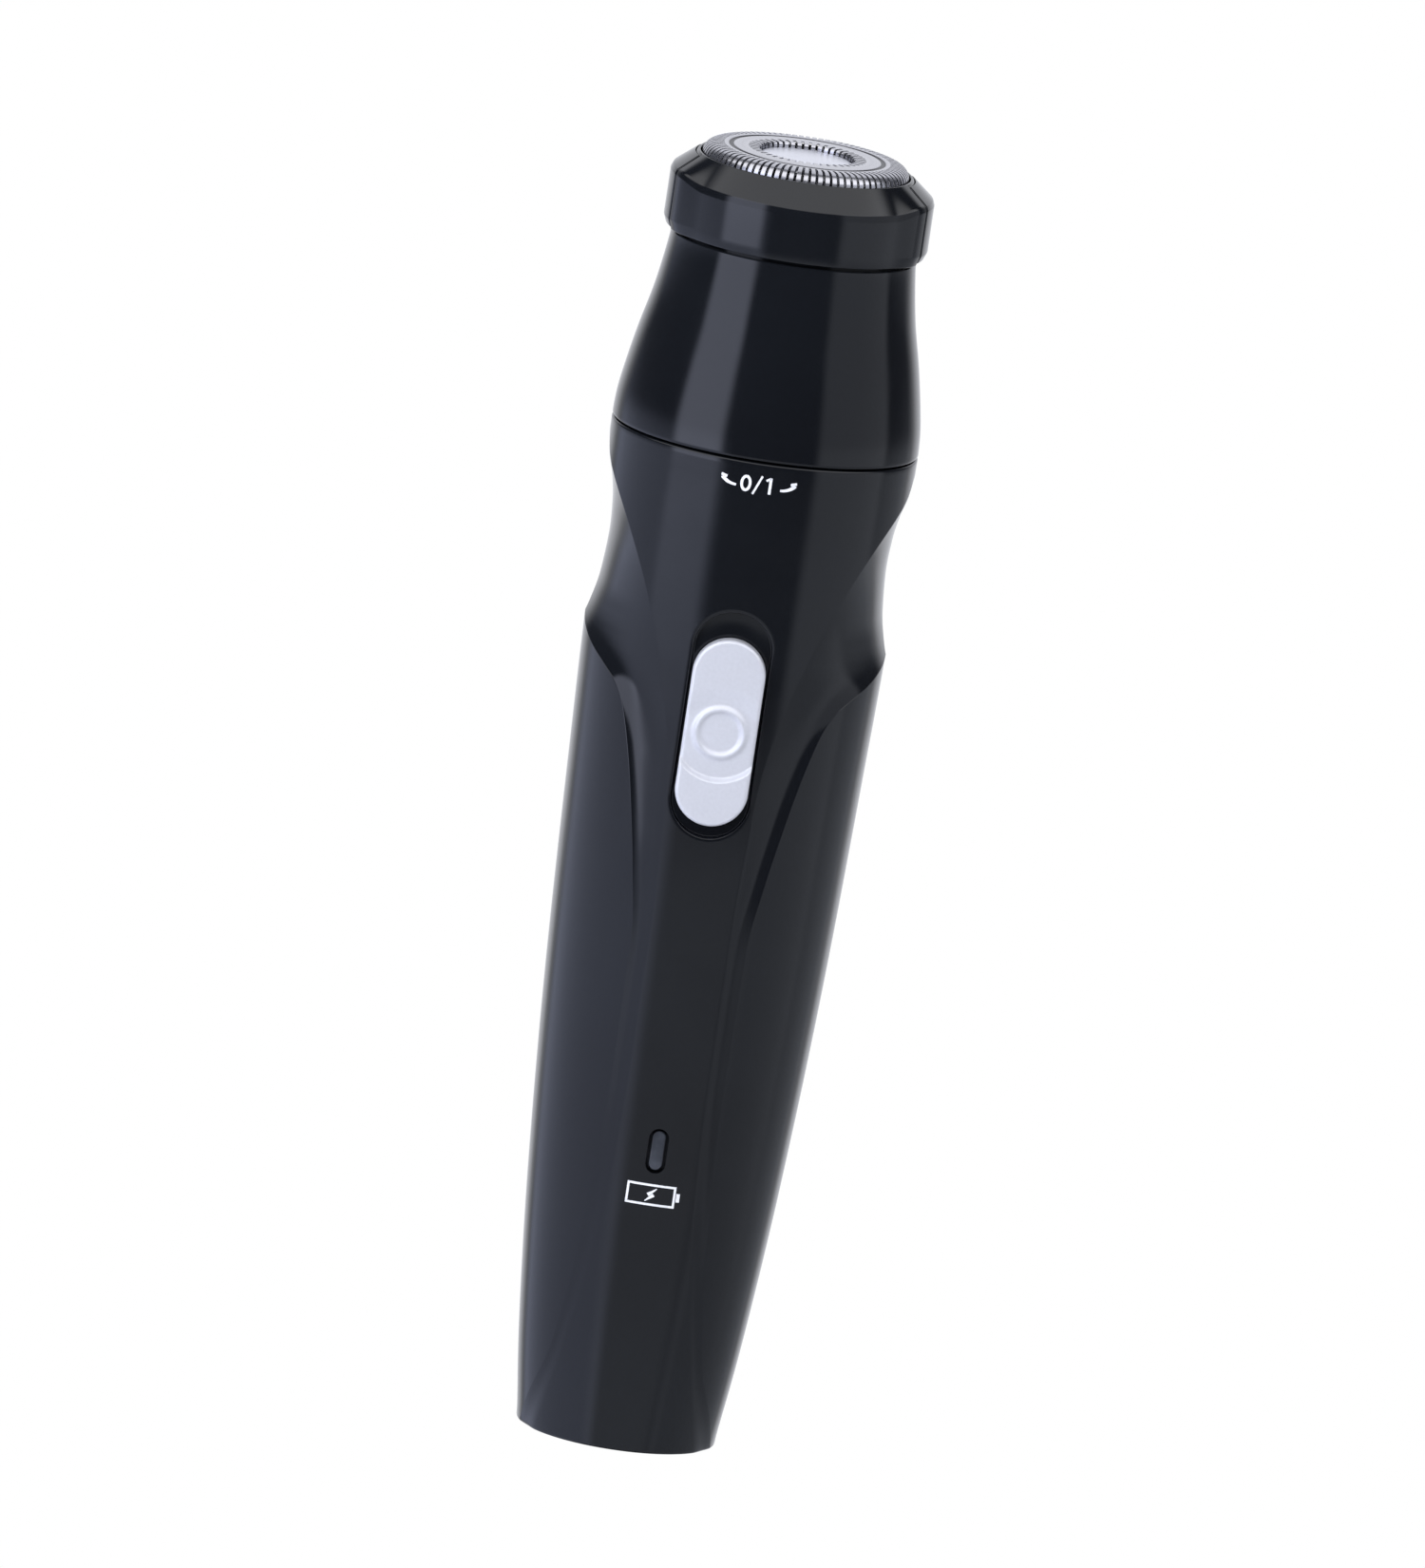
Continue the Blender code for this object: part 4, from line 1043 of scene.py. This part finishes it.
def room_light(tree, turn, lift):
    """Radiance of the room in a direction, given in degrees: a base and soft patches."""
    def window(value, middle, half, soft):
        """1 within half of the middle, fading to 0 over a soft edge."""
        away = math_node(tree, "ABSOLUTE", math_node(tree, "SUBTRACT", value, middle))
        edge = tree.nodes.new("ShaderNodeMapRange")
        edge.interpolation_type = "SMOOTHSTEP"
        edge.inputs["From Min"].default_value = half + soft
        edge.inputs["From Max"].default_value = max(half - soft, 0.0)
        tree.links.new(away, edge.inputs["Value"])
        return edge.outputs["Result"]

    total = None
    for colour, (azimuth, half_width, elevation, half_height, soft_turn, soft_lift) in ROOM_PATCHES:
        share = math_node(tree, "MULTIPLY", window(turn, azimuth, half_width, soft_turn),
                          window(lift, elevation, half_height, soft_lift))
        scaled = tree.nodes.new("ShaderNodeVectorMath")
        scaled.operation = "SCALE"
        scaled.inputs[0].default_value = colour
        tree.links.new(share, scaled.inputs["Scale"])
        add = tree.nodes.new("ShaderNodeVectorMath")
        add.operation = "ADD"
        if total is None:
            add.inputs[0].default_value = ROOM_BASE
        else:
            tree.links.new(total, add.inputs[0])
        tree.links.new(scaled.outputs[0], add.inputs[1])
        total = add.outputs[0]
    return total


def studio_world():
    """A world that the camera sees as white and that the object reflects as the room."""
    world = bpy.data.worlds.new("studio")
    bpy.context.scene.world = world
    world.use_nodes = True
    tree = world.node_tree
    tree.nodes.clear()
    output = tree.nodes.new("ShaderNodeOutputWorld")
    seen = tree.nodes.new("ShaderNodeBackground")
    seen.inputs["Color"].default_value = WHITE
    direction = tree.nodes.new("ShaderNodeSeparateXYZ")
    tree.links.new(tree.nodes.new("ShaderNodeTexCoord").outputs["Generated"], direction.inputs[0])
    ahead = math_node(tree, "MULTIPLY", direction.outputs["Y"], -1.0)
    turn = math_node(tree, "ARCTAN2", direction.outputs["X"], ahead)
    lift = math_node(tree, "ARCSINE", direction.outputs["Z"])
    angles = [math_node(tree, "DEGREES", angle) for angle in (turn, lift)]
    room = tree.nodes.new("ShaderNodeBackground")
    tree.links.new(room_light(tree, *angles), room.inputs["Color"])
    only_camera(tree, output, seen.outputs["Background"], room.outputs["Background"])


def softbox(name, azimuth, elevation, distance, width, height, radiance, colour):
    """A panel that lights the object; the room's patches are what its gloss reflects."""
    light = bpy.data.lights.new(name, "AREA")
    light.shape = "RECTANGLE"
    light.size, light.size_y = width, height
    light.energy = radiance * math.pi * width * height
    light.color = colour
    lamp = new_object(name, light)
    direction = towards(azimuth, elevation)
    lamp.location = AIM + direction * distance
    lamp.rotation_euler = direction.to_track_quat("Z", "Y").to_euler()
    lamp.visible_camera = False
    lamp.visible_glossy = False


def camera():
    """A far, long lens whose picture spans VIEW_SPAN at the object on its longer side."""
    data = bpy.data.cameras.new("camera")
    data.sensor_width = SENSOR
    data.lens = SENSOR * VIEW_DISTANCE / VIEW_SPAN
    data.clip_end = 80.0
    view = new_object("camera", data)
    direction = towards(0.0, VIEW_ELEVATION)
    roll = Matrix.Rotation(math.radians(VIEW_ROLL), 3, "Z")
    turned = direction.to_track_quat("Z", "Y").to_matrix() @ roll
    view.matrix_world = Matrix.Translation(AIM + direction * VIEW_DISTANCE) @ turned.to_4x4()
    bpy.context.scene.camera = view


def studio():
    bpy.context.scene.view_settings.view_transform = "Standard"
    white_floor()
    studio_world()
    for panel in SOFTBOXES:
        softbox(*panel)


handle_shells()
slide_button()
charge_lens()
lock_mark()
charge_pictogram()
head_bell()
cap_ring()
release_tabs()
shaving_foil()
inner_cutter()
dress_cad_nodes()
camera()
studio()
